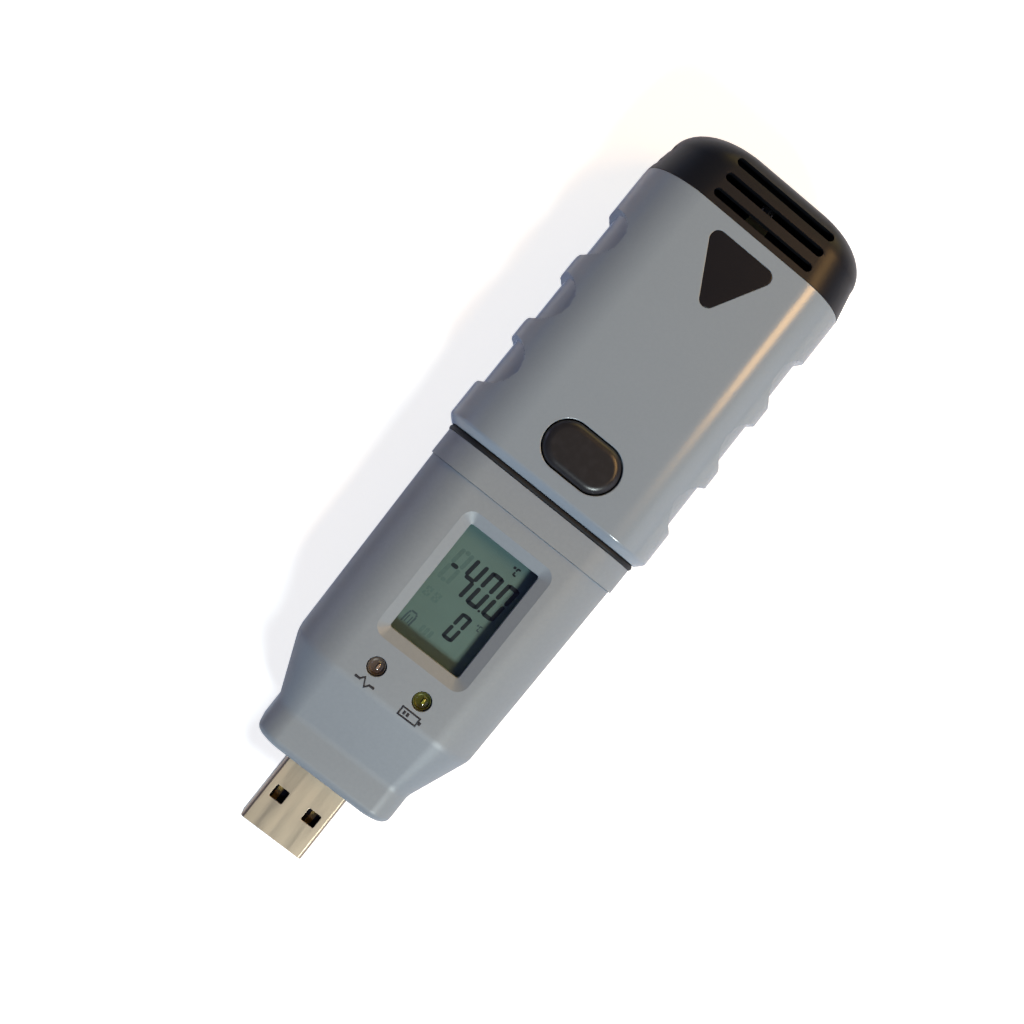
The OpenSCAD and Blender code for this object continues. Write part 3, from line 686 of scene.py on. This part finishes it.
def makeVentCap():
    shell = loft("ventCap", capRings(0, capY + cap["lift"]), segments=16)
    room = loft("room", capRings(cap["wall"], capY + cap["base"]), segments=12)
    wide, wall = cap["slotWide"], cap["wall"]
    slots = []
    for i in range(cap["slots"]):
        y = capY + cap["slotPlace"] + i * cap["slotPitch"]
        slots.append(post("slot", (0, y), cap["slotLong"], wide, wide * plainRound, (midZ, aboveFront), 6))
        sideRings = [((x, y, midZ), (1, wide, cap["sideSlotLong"]), wide * plainRound)
                     for x in (casingLow.x - overrun, casingHigh.x + overrun)]
        slots.append(loft("sideSlot", sideRings, "x", 6))
    cutAway(shell, room, *slots)
    bevelEdges(shell, cap["shellEdge"], 3, 50)
    smoothShade(shell, 40)
    neckWide, neckThick, neckCorner = boreWide - hairGap, boreThick - hairGap, boreCorner - hairGap / 2
    neck = tube("neck", neckWide, neckThick, neckCorner, (capLow.y, capY + cap["base"]), 12)
    cutAway(neck, tube("bore", neckWide - 2 * wall, neckThick - 2 * wall, neckCorner - wall,
                       (capLow.y - overrun, capY + 2 * cap["base"]), 12))
    bevelEdges(neck, cap["neckEdge"], 2, 50)
    smoothShade(neck)
    return joinPieces(shell, neck)


print("vent cap")
capFinish = mouldedPlastic("capPlastic", **cap["finish"])
finishPiece(makeVentCap(), capFinish, "black_plastic", "vent_cap", "casing")


# Lower body: two half shells

lower = inMetres(
    inset=1.85,             # narrower than the casing, per side
    draft=0.6, corner=8, wall=1.6, shoulderLong=10.3, soft=0.7, footLong=6.2, footWide=26.1, footThick=14,
    footCorner=4, footEdge=1.6, plugCorner=0.6, lampHole=3.2, lampEdge=0.15, seamEdge=0.12, backEdge=0.15,
)
lower["finish"] = dict(colour=(132, 142, 152), rough=0.42, grainScale=1700, grain=0.22, drift=0.025)
shoulderY = footY + lower["footLong"]
shellY = shoulderY + lower["shoulderLong"]
shellWide = casingWide - 2 * lower["inset"]
shellThick = casingThick - 2 * lower["inset"]
plugLow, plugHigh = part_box("plug_shell")
plugWide, plugLong, plugThick = span(plugLow, plugHigh)


def lowerRings(inset, topY):
    wide, thick = lower["footWide"] - 2 * inset, lower["footThick"] - 2 * inset
    corner, edge = lower["footCorner"] - inset, lower["footEdge"]
    stations = []
    for sine, cosine in reversed(arc(steps=6)):
        drawn = edge * (1 - cosine) * (1 - inset / lower["footCorner"])
        stations.append((footY + inset + edge * (1 - sine), wide - 2 * drawn, thick - 2 * drawn, corner))
    body = softenProfile([
        stations[-1],
        (shoulderY, wide, thick, corner),
        (shellY, shellWide - 2 * lower["draft"] - 2 * inset, shellThick - 2 * inset, lower["corner"] - inset),
        (topY, shellWide - 2 * inset, shellThick - 2 * inset, lower["corner"] - inset),
    ], lower["soft"])
    return [ringAlongY(*s) for s in stations[:-1] + body]


def halfShell(name, upper):
    half = loft(name, lowerRings(0, seamY), segments=14)
    onlySelect(half)
    openMesh()
    bpy.ops.mesh.bisect(plane_co=(0, 0, midZ), plane_no=(0, 0, 1), use_fill=True,
                        clear_inner=upper, clear_outer=not upper)
    closeMesh()
    flattenFaces(half)
    room = loft("room", lowerRings(lower["wall"], seamY + overrun), segments=10)
    cutAway(half, room, tube("plugOpening", plugWide + hairGap, plugThick + hairGap, lower["plugCorner"],
                             (footY - overrun, footY + 3 * overrun), 4))
    return half


def onSeam(point):
    # where a half shell meets the collar or the other half
    return point.y > seamY - nearby or abs(point.z - midZ) < nearby


lensLow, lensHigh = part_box("display_lens")
opening = inMetres(
    ledge=1,                # the clear window's margin behind the opening
    around=3,               # how far from the opening its edges are looked for
    play=0.1, bevelWide=1.95, bevelDeep=0.95, outerCorner=2.1, innerCorner=0.45, outerEdge=0.55,
    innerEdge=0.12, rimWide=1.8, rimCorner=1, rimBelow=0.5, ledgeCorner=0.4,
)
lensWide, lensLong, _ = span(lensLow, lensHigh)
windowMiddle = middleOf("display_lens")
windowWide = lensWide - 2 * (opening["ledge"] - opening["play"])
windowLong = lensLong - 2 * (opening["ledge"] - opening["play"])


def windowRing(z, grow, corner):
    return ringAlongZ(windowMiddle, z, windowWide + 2 * grow, windowLong + 2 * grow, corner)


def windowBlock(name, grow, corner, ends, segments=3):
    return loft(name, [windowRing(z, grow, corner) for z in ends], "z", segments)


def makeFrontShell():
    front = halfShell("frontShell", True)
    deep, wide = opening["bevelDeep"], opening["bevelWide"]
    inner, outer = opening["innerCorner"], opening["outerCorner"]
    floorZ = frontZ - deep
    bezel = loft("bezel", [windowRing(midZ, 0, inner), windowRing(floorZ, 0, inner),
                           windowRing(frontZ, wide, outer), windowRing(frontZ + deep, 2 * wide, 2 * outer)],
                 "z", 6)
    # the rim that the clear window sits in
    combine(front, "UNION", windowBlock("rim", opening["rimWide"], opening["rimCorner"],
                                        (lensLow.z, frontZ - opening["rimBelow"]), 4))
    ledge = windowBlock("ledge", opening["ledge"], opening["ledgeCorner"],
                        (lensLow.z - overrun, lensHigh.z))
    hole = lower["lampHole"]
    holes = [post("lampHole", middleOf(node), hole, hole, hole * plainRound, (midZ, frontZ + overrun), 9)
             for node in ("status_lamp", "battery_lamp")]
    cutAway(front, bezel, ledge, *holes)
    halfWide, halfLong = windowWide / 2 + opening["around"], windowLong / 2 + opening["around"]

    def onWindow(point):
        return abs(point.x) < halfWide and abs(point.y - windowMiddle.y) < halfLong

    def onFront(point):
        return point.z > frontZ - nearby

    bevelEdges(front, opening["outerEdge"], 4, 15, lambda p: onWindow(p) and onFront(p))
    bevelEdges(front, opening["innerEdge"], 2, 15, lambda p: onWindow(p) and abs(p.z - floorZ) < nearby)
    bevelEdges(front, lower["lampEdge"], 3, where=lambda p: onFront(p) and p.y < windowMiddle.y - halfLong)
    bevelEdges(front, lower["seamEdge"], where=onSeam)
    return smoothShade(front)


rearScrews = inMetres(
    recessDeep=1.4,         # past the head's outer face
    headWide=4, bossWide=6.8, bossCorner=3.39, bossFrom=4, recessWide=4.4, recessCorner=2.196,
)


def makeRearShell():
    rear = halfShell("rearShell", False)
    screwsLow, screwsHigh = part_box("shell_screws")
    boss, recess = rearScrews["bossWide"], rearScrews["recessWide"]
    x, y = screwsHigh.x - rearScrews["headWide"] / 2, (screwsLow.y + screwsHigh.y) / 2
    for side in (-1, 1):
        place = (side * x, y)
        combine(rear, "UNION", post("boss", place, boss, boss, rearScrews["bossCorner"],
                                    (rearScrews["bossFrom"], midZ), 8))
        cutAway(rear, post("recess", place, recess, recess, rearScrews["recessCorner"],
                           (-overrun, screwsLow.z + rearScrews["recessDeep"]), 8))
    bevelEdges(rear, lower["backEdge"], where=lambda p: p.z < shellLow.z)
    bevelEdges(rear, lower["seamEdge"], where=onSeam)
    return smoothShade(rear)


print("lower body")
lowerFinish = mouldedPlastic("lowerPlastic", **lower["finish"])
finishPiece(makeFrontShell(), lowerFinish, "body_plastic", "front_shell")
finishPiece(makeRearShell(), lowerFinish, "body_plastic", "rear_shell")


# Seal ring between the casing and the collar

sealLow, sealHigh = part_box("seal_ring")
seal = inMetres(crown=0.35, corner=8.2)
seal["finish"] = dict(colour=(27, 29, 32), dust=(44, 47, 51), rough=0.55, grain=0.15, shine=0.2)


def makeSeal():
    wide, long, thick = span(sealLow, sealHigh)
    rings = []
    for sine, cosine in arc(steps=8, degrees=180):
        inset = seal["crown"] * (1 - sine)
        rings.append(ringAlongY(sealLow.y + long * (1 - cosine) / 2, wide - 2 * inset, thick - 2 * inset,
                                seal["corner"] - inset))
    ring = loft("sealRing", rings, segments=14)
    cutAway(ring, tube("spigot", boreWide - hairGap, boreThick - hairGap, boreCorner,
                       (sealLow.y - overrun, sealHigh.y + overrun), 14))
    return smoothShade(ring, 50)


print("seal ring")
sealFinish = softRubber("sealRubber", **seal["finish"])
finishPiece(makeSeal(), sealFinish, "black_rubber", "seal_ring")


# Clear window and segment display

glassLow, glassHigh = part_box("display_glass")
layerZ = (glassLow.z + glassHigh.z) / 2
windowLeft = windowMiddle.x - windowWide / 2
windowTop = windowMiddle.y + windowLong / 2
display = inMetres(
    rim=0.9,                # from the window's edge to the module's frame, all round
    slantFrom=-10.41,       # the height, from the window's top, that the slant leaves in place
    windowCorner=0.4, windowEdge=0.1, corner=0.2, edge=0.12, rimCorner=0.3,
)
display |= {"slant": 0.10, "window": dict(tint=(250, 251, 250), rough=0.06),
            "back": dict(colour=(94, 122, 119), rough=0.40)}
# All in mm from the window's upper left corner. Digits: sign, left, bottom, width, height, stroke and
# how much shorter its level bars are, in strokes. Bars: middle, width, length and the corners' share.
# Units: left, bottom and height. Unlit segments still show faintly.
displayLayers = {
    "displayFigures": {
        "ink": ("figureInk", (22, 32, 36)),
        "thick": 0.02 * mm,
        "digits": [("4", 3.88, -10.41, 2.4, 6.65, 0.70), ("0", 6.98, -10.41, 2.4, 6.65, 0.70),
                   ("0", 10.08, -10.41, 2.4, 6.65, 0.70), ("0", 8.05, -16.92, 2.05, 5.15, 0.616)],
        "bars": [(9.74, -10.19, 0.42, 0.42), (1.98, -6.935, 1.3, 0.70, 0.5)],
        "units": [(8.75, -2.5, 1.5)],
    },
    "displaySigns": {
        "ink": ("dimInk", (62, 80, 86)),
        "thick": 0.02 * mm,
        "bars": [(1.84, -17.95, 0.3, 1.8), (3.31, -17.95, 0.3, 1.8), (2.2775, -17.95, 0.2, 1.4),
                 (2.8725, -17.95, 0.2, 1.4), (2.575, -16.55, 1.085, 0.3), (1.945, -16.85, 0.32, 0.4),
                 (3.205, -16.85, 0.32, 0.4)],
        "units": [(11.05, -12.92, 1.1)],
    },
    "displayGhosts": {
        "ink": ("ghostInk", (85, 111, 109)),
        "thick": 0.01 * mm,
        "digits": [("8", 0.93, -10.01, 2.4, 6.251, 0.70, 2.2), ("8", 1.1, -13.52, 1.2, 1.8, 0.42, 2.2),
                   ("8", 2.8, -13.52, 1.2, 1.8, 0.42, 2.2)],
        "bars": [(5.2, -17.8, 0.62, 1.4), (6.0, -17.8, 0.62, 1.4), (6.8, -17.8, 0.62, 1.4)],
    },
}
digitBars = {"0": "abcdef", "4": "bcfg", "8": "abcdefg", "C": "adef"}


def plate(name, low, high, corner, edge):
    wide, long, _ = span(low, high)
    block = post(name, (low + high) / 2, wide, long, corner, (low.z, high.z), 3)
    bevelEdges(block, edge)
    return block


def addBar(x, y, wide, long, corner=0.42):
    centre = (windowLeft + x * mm, windowTop + y * mm, layerZ)
    bpy.ops.mesh.primitive_plane_add(size=1, location=centre)
    bpy.ops.transform.resize(value=(wide * mm, long * mm, 1), center_override=centre)
    bpy.ops.mesh.bevel(offset_type="OFFSET", offset=min(wide, long) * corner * mm, segments=2,
                       affect="VERTICES", clamp_overlap=False)


def addDigit(sign, left, bottom, wide, high, stroke, shorter=0.9):
    # bars a to g, from the top round clockwise to the middle one
    centre, middle = left + wide / 2, bottom + high / 2
    inLeft, inRight = left + stroke / 2, left + wide - stroke / 2
    halfLong, across = high / 2 - 0.35 * stroke, wide - shorter * stroke
    places = {
        "a": (centre, bottom + high - stroke / 2, across, stroke),
        "b": (inRight, middle + high / 4, stroke, halfLong),
        "c": (inRight, middle - high / 4, stroke, halfLong),
        "d": (centre, bottom + stroke / 2, across, stroke),
        "e": (inLeft, middle - high / 4, stroke, halfLong),
        "f": (inLeft, middle + high / 4, stroke, halfLong),
        "g": (centre, middle, across, stroke),
    }
    for bar in digitBars[sign]:
        addBar(*places[bar])


def addUnit(left, bottom, high):
    # a degree dot and a small C
    stroke = high * 0.2
    addBar(left + stroke, bottom + high - stroke, 1.6 * stroke, 1.6 * stroke)
    addDigit("C", left + 0.45 * high, bottom, 0.55 * high, high, stroke)


def drawLayer(name, layer):
    # flat bars drawn into an empty mesh, made thick, and leaned like the display's figures
    drawing = addObject(name, bpy.data.meshes.new(name))
    openMesh()
    for draw, kind in ((addDigit, "digits"), (addBar, "bars"), (addUnit, "units")):
        for measures in layer.get(kind, ()):
            draw(*measures)
    selectMesh()
    bpy.ops.mesh.extrude_region_move(TRANSFORM_OT_translate={"value": (0, 0, layer["thick"])})
    faceOutward()
    lean, base = display["slant"], windowTop + display["slantFrom"]
    drawing.data.transform(Matrix(((1, lean, 0, -lean * base), (0, 1, 0, 0), (0, 0, 1, 0), (0, 0, 0, 1))))
    return drawing


def makeDisplay():
    window = plate("clearWindow", lensLow, lensHigh, display["windowCorner"], display["windowEdge"])
    clear = clearPlastic("clearWindow", **display["window"])
    finishPiece(smoothShade(window), clear, "clear_window", "display_lens")
    panel = plate("displayPanel", glassLow, glassHigh, display["corner"], display["edge"])
    recess = windowBlock("recess", display["rim"], display["rimCorner"], (layerZ, glassHigh.z + overrun))
    cutAway(panel, recess)
    reflector = displayFinish("displayReflector", **display["back"])
    finishPiece(smoothShade(panel), reflector, "display", "display_glass")
    for name, layer in displayLayers.items():
        finishPiece(drawLayer(name, layer), inkFinish(*layer["ink"]), "display")


print("display")
makeDisplay()


# Lamps: a clear resin dome over a small cup

lamp = inMetres(
    cupBelow=0.75,          # the cup's rim from the dome's top
    wide=3, tall=5.3, flangeThick=1, tip=0.1, coreFrom=0.2, coreGap=0.12, cupWide=2.86, cupDeep=0.8,
    # the cup's hollow, the cup and its bowl: how much narrower than its rim at the floor, and wider on top
    hollowIn=0.9, hollowOut=1.2, cupIn=0.95, bowlIn=1.3, bowlOut=0.5,
    cupLow=0.2, bowlFloor=0.08, bowlHigh=0.3,
    dieWide=0.42, dieSide=0.1, dieBelow=0.45, dieEdge=0.04, leadWide=0.5, leadPitch=2.54, soft=0.05,
)
# the die's colour is the chip's own, kept lighter than the cup as a painted highlight too
lampColours = {
    "status": {"slot": "clear_lamp", "tint": (238, 234, 229), "cup": (92, 84, 79), "dieAndGlint": (166, 150, 140),
               "dark": (86, 79, 74)},
    "battery": {"slot": "green_lamp", "tint": (228, 230, 190), "cup": (84, 84, 45), "dieAndGlint": (170, 172, 104),
                "dark": (80, 82, 44)},
}


def makeLamp(name, look):
    node, slot = name + "_lamp", look["slot"]
    low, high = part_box(node)
    middle = (low + high) / 2
    wide, cupWide, leadWide = lamp["wide"], lamp["cupWide"], lamp["leadWide"]
    base = high.z - lamp["tall"]
    flange = base + lamp["flangeThick"]
    cupTop = high.z - lamp["cupBelow"]
    cupFloor = cupTop - lamp["cupDeep"]

    def turned(part, stations):
        return loft(part, [roundRing(middle, z, width) for z, width in stations], "z", 9)

    foot = high.x - low.x
    dome = [(high.z - wide / 2 * (1 - sine), max(lamp["tip"], wide * cosine))
            for sine, cosine in arc(steps=8)]
    resin = turned(name + "Resin", [(base, foot), (flange, foot), (flange + nearby, wide), *dome])
    clear = clearPlastic(name + "Resin", look["tint"], 0.04)
    finishPiece(smoothShade(resin, 50), clear, slot, node)
    coreWide = wide - lamp["coreGap"]
    core = turned(name + "Core", [(base + lamp["coreFrom"], coreWide), (cupTop, coreWide)])
    cutAway(core, turned("hollow", [(cupFloor, cupWide - lamp["hollowIn"]),
                                    (cupTop + overrun, cupWide + lamp["hollowOut"])]))
    for side in (-1, 1):
        place = (middle.x + side * lamp["leadPitch"] / 2, middle.y)
        joinPieces(core, post("lead", place, leadWide, leadWide, lamp["soft"], (low.z, base + leadWide), 1))
    finishPiece(smoothShade(core, 50), inkFinish(name + "Core", look["dark"], 0.3), slot)
    cup = turned(name + "Cup", [(cupFloor + nearby, cupWide - lamp["cupIn"]),
                                (cupTop - lamp["cupLow"], cupWide)])
    cutAway(cup, turned("bowl", [(cupFloor + lamp["bowlFloor"], cupWide - lamp["bowlIn"]),
                                 (cupTop + lamp["bowlHigh"], cupWide + lamp["bowlOut"])]))
    finishPiece(smoothShade(cup, 50), inkFinish(name + "Cup", look["cup"], 0.3), slot)
    # the die sits right of the middle, lighter than the cup: the chip itself, and a painted highlight
    # standing in for the lamp's bright speck
    x, dieWide = middle.x + lamp["dieSide"], lamp["dieWide"]
    corners = (Vector((x, middle.y - dieWide, cupFloor)),
               Vector((x + dieWide, middle.y + dieWide, cupTop - lamp["dieBelow"])))
    dieAndGlint = plate(name + "DieAndGlint", *corners, lamp["soft"], lamp["dieEdge"])
    finishPiece(dieAndGlint, inkFinish(name + "DieAndGlint", look["dieAndGlint"], 0.2), slot)


print("lamps")
for lampName, lampLook in lampColours.items():
    makeLamp(lampName, lampLook)


# Marks under the lamps: a pulse line and a battery outline, printed

marks = inMetres(
    below=3.0,              # from a lamp's middle to its mark's middle
    wide=3.7, high=1.4, line=0.44, proud=0.04,
)
marks |= {
    "ink": (38, 38, 44),
    # points as shares of half the width and half the height
    "pulse": ((-1, 0), (-0.5, 0), (-0.2, 1), (0.2, -1), (0.5, 0), (1, 0)),
    "outline": ((-1, -1), (0.8, -1), (0.8, 1), (-1, 1)),
    "nub": ((1, -0.4), (1, 0.4)),
    "bars": (((-0.6, -0.45), (-0.6, 0.45)), ((-0.25, -0.45), (-0.25, 0.45))),
}


def inkLine(name, node, shares, closed=False):
    # a flattened tube along a line of points, sunk to its middle in the surface
    curve = bpy.data.curves.new(name, "CURVE")
    curve.dimensions = "3D"
    curve.bevel_depth = marks["line"] / 2
    curve.bevel_resolution = 3
    curve.use_fill_caps = True
    spline = curve.splines.new("POLY")
    spline.points.add(len(shares) - 1)
    y = middleOf("status_lamp").y - marks["below"]
    for point, (u, v) in zip(spline.points, shares):
        point.co = (middleOf(node).x + marks["wide"] / 2 * u, y + marks["high"] / 2 * v, 0, 1)
    spline.use_cyclic_u = closed
    addObject(name, curve)
    bpy.ops.object.convert(target="MESH")
    line = bpy.context.object
    flat = Matrix.Diagonal((1, 1, 2 * marks["proud"] / marks["line"], 1))
    line.data.transform(Matrix.Translation((0, 0, frontZ)) @ flat)
    return line


def makeMarks():
    finish = inkFinish("printInk", marks["ink"])
    pulse = inkLine("pulseMark", "status_lamp", marks["pulse"])
    outline = inkLine("batteryMark", "battery_lamp", marks["outline"], closed=True)
    inner = [inkLine("inner", "battery_lamp", line) for line in (marks["nub"], *marks["bars"])]
    joinPieces(outline, *inner)
    finishPiece(pulse, finish, "black_plastic")
    finishPiece(outline, finish, "black_plastic")


print("marks")
makeMarks()


# USB plug

plug = inMetres(sheet=0.3, corner=0.6, holeWide=2.5, holeLong=2.3, holeCorner=0.25, holeX=3.2, holePlace=6.4,
                seam=0.08, edge=0.06)
plug["finish"] = dict(colour=(178, 161, 139), rough=0.38, stretch=(1, 0.1, 1), grain=0.08, stain=0.12)


def makePlugShell():
    sheet, corner, seam = plug["sheet"], plug["corner"], plug["seam"]
    below = plugLow.z - overrun
    shell = tube("plugShell", plugWide, plugThick, corner, (plugLow.y, plugHigh.y), 5)
    inside = tube("inside", plugWide - 2 * sheet, plugThick - 2 * sheet, corner - sheet,
                  (plugLow.y - overrun, plugHigh.y + overrun), 4)
    slit = post("seam", (0, (plugLow.y + plugHigh.y) / 2), seam, plugLong + 2 * overrun, seam * 0.2,
                (below, midZ), 1)
    latches = [post("latch", (side * plug["holeX"], plugLow.y + plug["holePlace"]), plug["holeWide"],
                    plug["holeLong"], plug["holeCorner"], (below, plugHigh.z + overrun), 3)
               for side in (-1, 1)]
    cutAway(shell, inside, slit, *latches)
    bevelEdges(shell, plug["edge"])
    return smoothShade(shell)


print("plug")
plugFinish = plainMetal("platedSheet", **plug["finish"])
finishPiece(makePlugShell(), plugFinish, "plug_steel", "plug_shell")


# Cell: a sleeved can with a metal end at each side

cellLow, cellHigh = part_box("cell")
cell = inMetres(
    lip=0.9,                # how far the sleeve laps over each end
    lipDeep=0.1, flatIn=1, footStep=0.05, edgeStep=0.15, nubStep=0.02, nubLong=1, nubWide=5, nubEdge=0.2,
    endSoft=0.5, bandLong=5, bandFade=0.05,
)
cell |= {"steel": dict(colour=(200, 200, 198), rough=0.24),
         "film": dict(colour=(42, 96, 72), band=(206, 208, 204), dirt=(40, 60, 52), rough=0.28)}


def cellForm(name, stations):
    # round about the cell's axis, from the places along it and the widths there
    middle = (cellLow + cellHigh) / 2
    rings = [((middle.x, y, middle.z), (wide, 1, wide), wide * fineRound) for y, wide in stations]
    return loft(name, rings, segments=14)


def makeCell():
    wide = cellHigh.x - cellLow.x
    low, high = cellLow.y, cellHigh.y - cell["nubLong"]
    lipWide = wide - 2 * cell["lip"]
    flatWide = lipWide - cell["flatIn"]
    soft, nub, nubEdge = cell["endSoft"], cell["nubWide"], cell["nubEdge"]
    edge, step = cell["edgeStep"], cell["nubStep"]
    curve = arc(steps=4)
    body = cellForm("cellSleeve", [
        (low + cell["lipDeep"], lipWide),
        *[(low + soft * (1 - cosine), wide - 2 * soft * (1 - sine)) for sine, cosine in curve],
        *[(high - soft * (1 - sine), wide - 2 * soft * (1 - cosine)) for sine, cosine in curve],
        (high - cell["lipDeep"], lipWide)])
    smoothShade(body, 50)
    can = cellForm("cellCan", [
        (low + cell["footStep"], flatWide), (low + edge, lipWide), (high - edge, lipWide),
        (high - step, flatWide), (high + step, nub), (cellHigh.y - nubEdge, nub),
        (cellHigh.y, nub - 2 * nubEdge)])
    smoothShade(can)
    return body, can


def sleeveFinish(name, colour, band, dirt, rough):
    # shrink film: a plain band near one end, and the film's faint wrinkles
    finish, tree, shader = newFinish(name)
    place = addNode(tree, "TexCoord").outputs["Object"]
    along = addNode(tree, "SeparateXYZ", {0: place}).outputs["Y"]
    bandStart = cellHigh.y - cell["bandLong"]
    onBand = mapped(tree, along, 0, 1, bandStart, bandStart + cell["bandFade"])
    tone = blended(tree, onBand, linear(colour), linear(band))
    feed(shader, {
        "Base Color": blended(tree, mapped(tree, noiseAt(tree, 350, 5), 0, 0.25), tone, linear(dirt)),
        "Roughness": rough,
        "Normal": bumped(tree, noiseAt(tree, 700, 2, (0.3, 1, 1)), 0.25, 0.03 * mm),
    })
    return finish


print("cell")
brightFinish = plainMetal("brightSteel", **cell["steel"])
cellSleeve, cellCan = makeCell()
finishPiece(cellSleeve, sleeveFinish("cellSleeve", **cell["film"]), "cell_sleeve", "cell")
finishPiece(cellCan, brightFinish, "bright_steel")


# The board and the small parts inside keep their CAD forms, with softened edges

board = dict(colour=(16, 38, 26), runs=(28, 58, 38), pads=(70, 72, 56), fibre=(10, 26, 18), rough=0.3)


def softenNode(node, name, width):
    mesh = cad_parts[node].data.copy()
    mesh.name = name
    piece = addObject(name, mesh)
    openMesh()
    bpy.ops.mesh.remove_doubles(threshold=0.001 * mm)
    bpy.ops.mesh.dissolve_limited(angle_limit=math.radians(1))
    closeMesh()
    bevelEdges(piece, width, sharp=35)
    return smoothShade(piece)


def boardFinish(name, colour, runs, pads, fibre, rough):
    # lacquer over copper: straight runs and pads from two cell patterns, and fibres in the laminate
    finish, tree, shader = newFinish(name)
    place = addNode(tree, "TexCoord").outputs["Object"]
    black, white = (0, 0, 0, 1), (1, 1, 1, 1)
    lines = addNode(tree, "TexBrick", {"Vector": place, "Scale": 130, "Mortar Size": 0.035, "Color1": black,
                                       "Color2": black, "Mortar": white}).outputs["Color"]
    dots = addNode(tree, "TexVoronoi", {"Vector": place, "Scale": 160}, distance="CHEBYCHEV")
    tone = blended(tree, lines, linear(colour), linear(runs))
    tone = blended(tree, mapped(tree, dots.outputs["Distance"], 1, 0, 0.10, 0.13), tone, linear(pads))
    feed(shader, {
        "Base Color": blended(tree, mapped(tree, noiseAt(tree, 3000, 2), 0, 0.2), tone, linear(fibre)),
        "Roughness": rough,
        "Normal": bumped(tree, lines, 0.4, 0.02 * mm),
    })
    return finish


print("inner parts")
innerFinishes = {
    "circuit_board": boardFinish("boardLacquer", **board),
    "chip_plastic": mouldedPlastic("chipPlastic", (40, 40, 41), rough=0.5, grainScale=3500, grain=0.5),
    "gold_contact": plainMetal("goldPlate", (222, 184, 104), rough=0.2),
    "white_plastic": mouldedPlastic("whitePlastic", (222, 221, 216), rough=0.35, grainScale=2500, grain=0.15),
    "pink_rubber": softRubber("layeredRubber", (196, 120, 126), dust=(150, 80, 88), rough=0.6, grain=0.2),
    "capacitor_can": plainMetal("canAluminium", (178, 180, 184), rough=0.32),
    "sensor_resin": mouldedPlastic("beadResin", (34, 34, 36), rough=0.22, grainScale=900, grain=0.2),
    "black_plastic": blackFinish,
    "black_rubber": padFinish,
    "bright_steel": brightFinish,
    "body_plastic": lowerFinish,
}
# CAD node: its new name, the width of its softened edges in mm, its material slot and its body, if
# that isn't the logger
innerParts = {
    "main_board": ("mainBoard", 0.05, "circuit_board"),
    "display_holder": ("displayHolder", 0.08, "white_plastic"),
    "display_connectors": ("displayStrips", 0.06, "pink_rubber"),
    "plug_tongue": ("plugTongue", 0.05, "black_plastic"),
    "plug_contacts": ("plugContacts", 0.03, "gold_contact"),
    "cell_contact_plus": ("plusContact", 0.05, "bright_steel"),
    "cell_contact_minus": ("minusContact", 0.05, "bright_steel"),
    "microcontroller": ("controllerChip", 0.03, "chip_plastic"),
    "memory_chip": ("memoryChip", 0.03, "chip_plastic"),
    "voltage_regulator": ("regulatorChip", 0.03, "chip_plastic"),
    "crystal": ("crystalCan", 0.25, "bright_steel"),
    "capacitors": ("capacitorCans", 0.12, "capacitor_can"),
    "switch_body": ("switchBody", 0.1, "chip_plastic"),
    "switch_actuator": ("switchActuator", 0.15, "white_plastic", "switch"),
    "temperature_sensor": ("sensorBead", 0.03, "sensor_resin"),
    "shell_screws": ("shellScrews", 0.05, "bright_steel"),
    "board_screws": ("boardScrews", 0.05, "bright_steel"),
    "button_flange": ("buttonFlange", 0.08, "black_rubber", "casing"),
    "button_retainer": ("buttonRetainer", 0.08, "black_plastic", "casing"),
    "chassis": ("chassisTray", 0.12, "body_plastic"),
}
for node, (name, edge, slot, *body) in innerParts.items():
    finishPiece(softenNode(node, name, edge * mm), innerFinishes[slot], slot, node, *body)
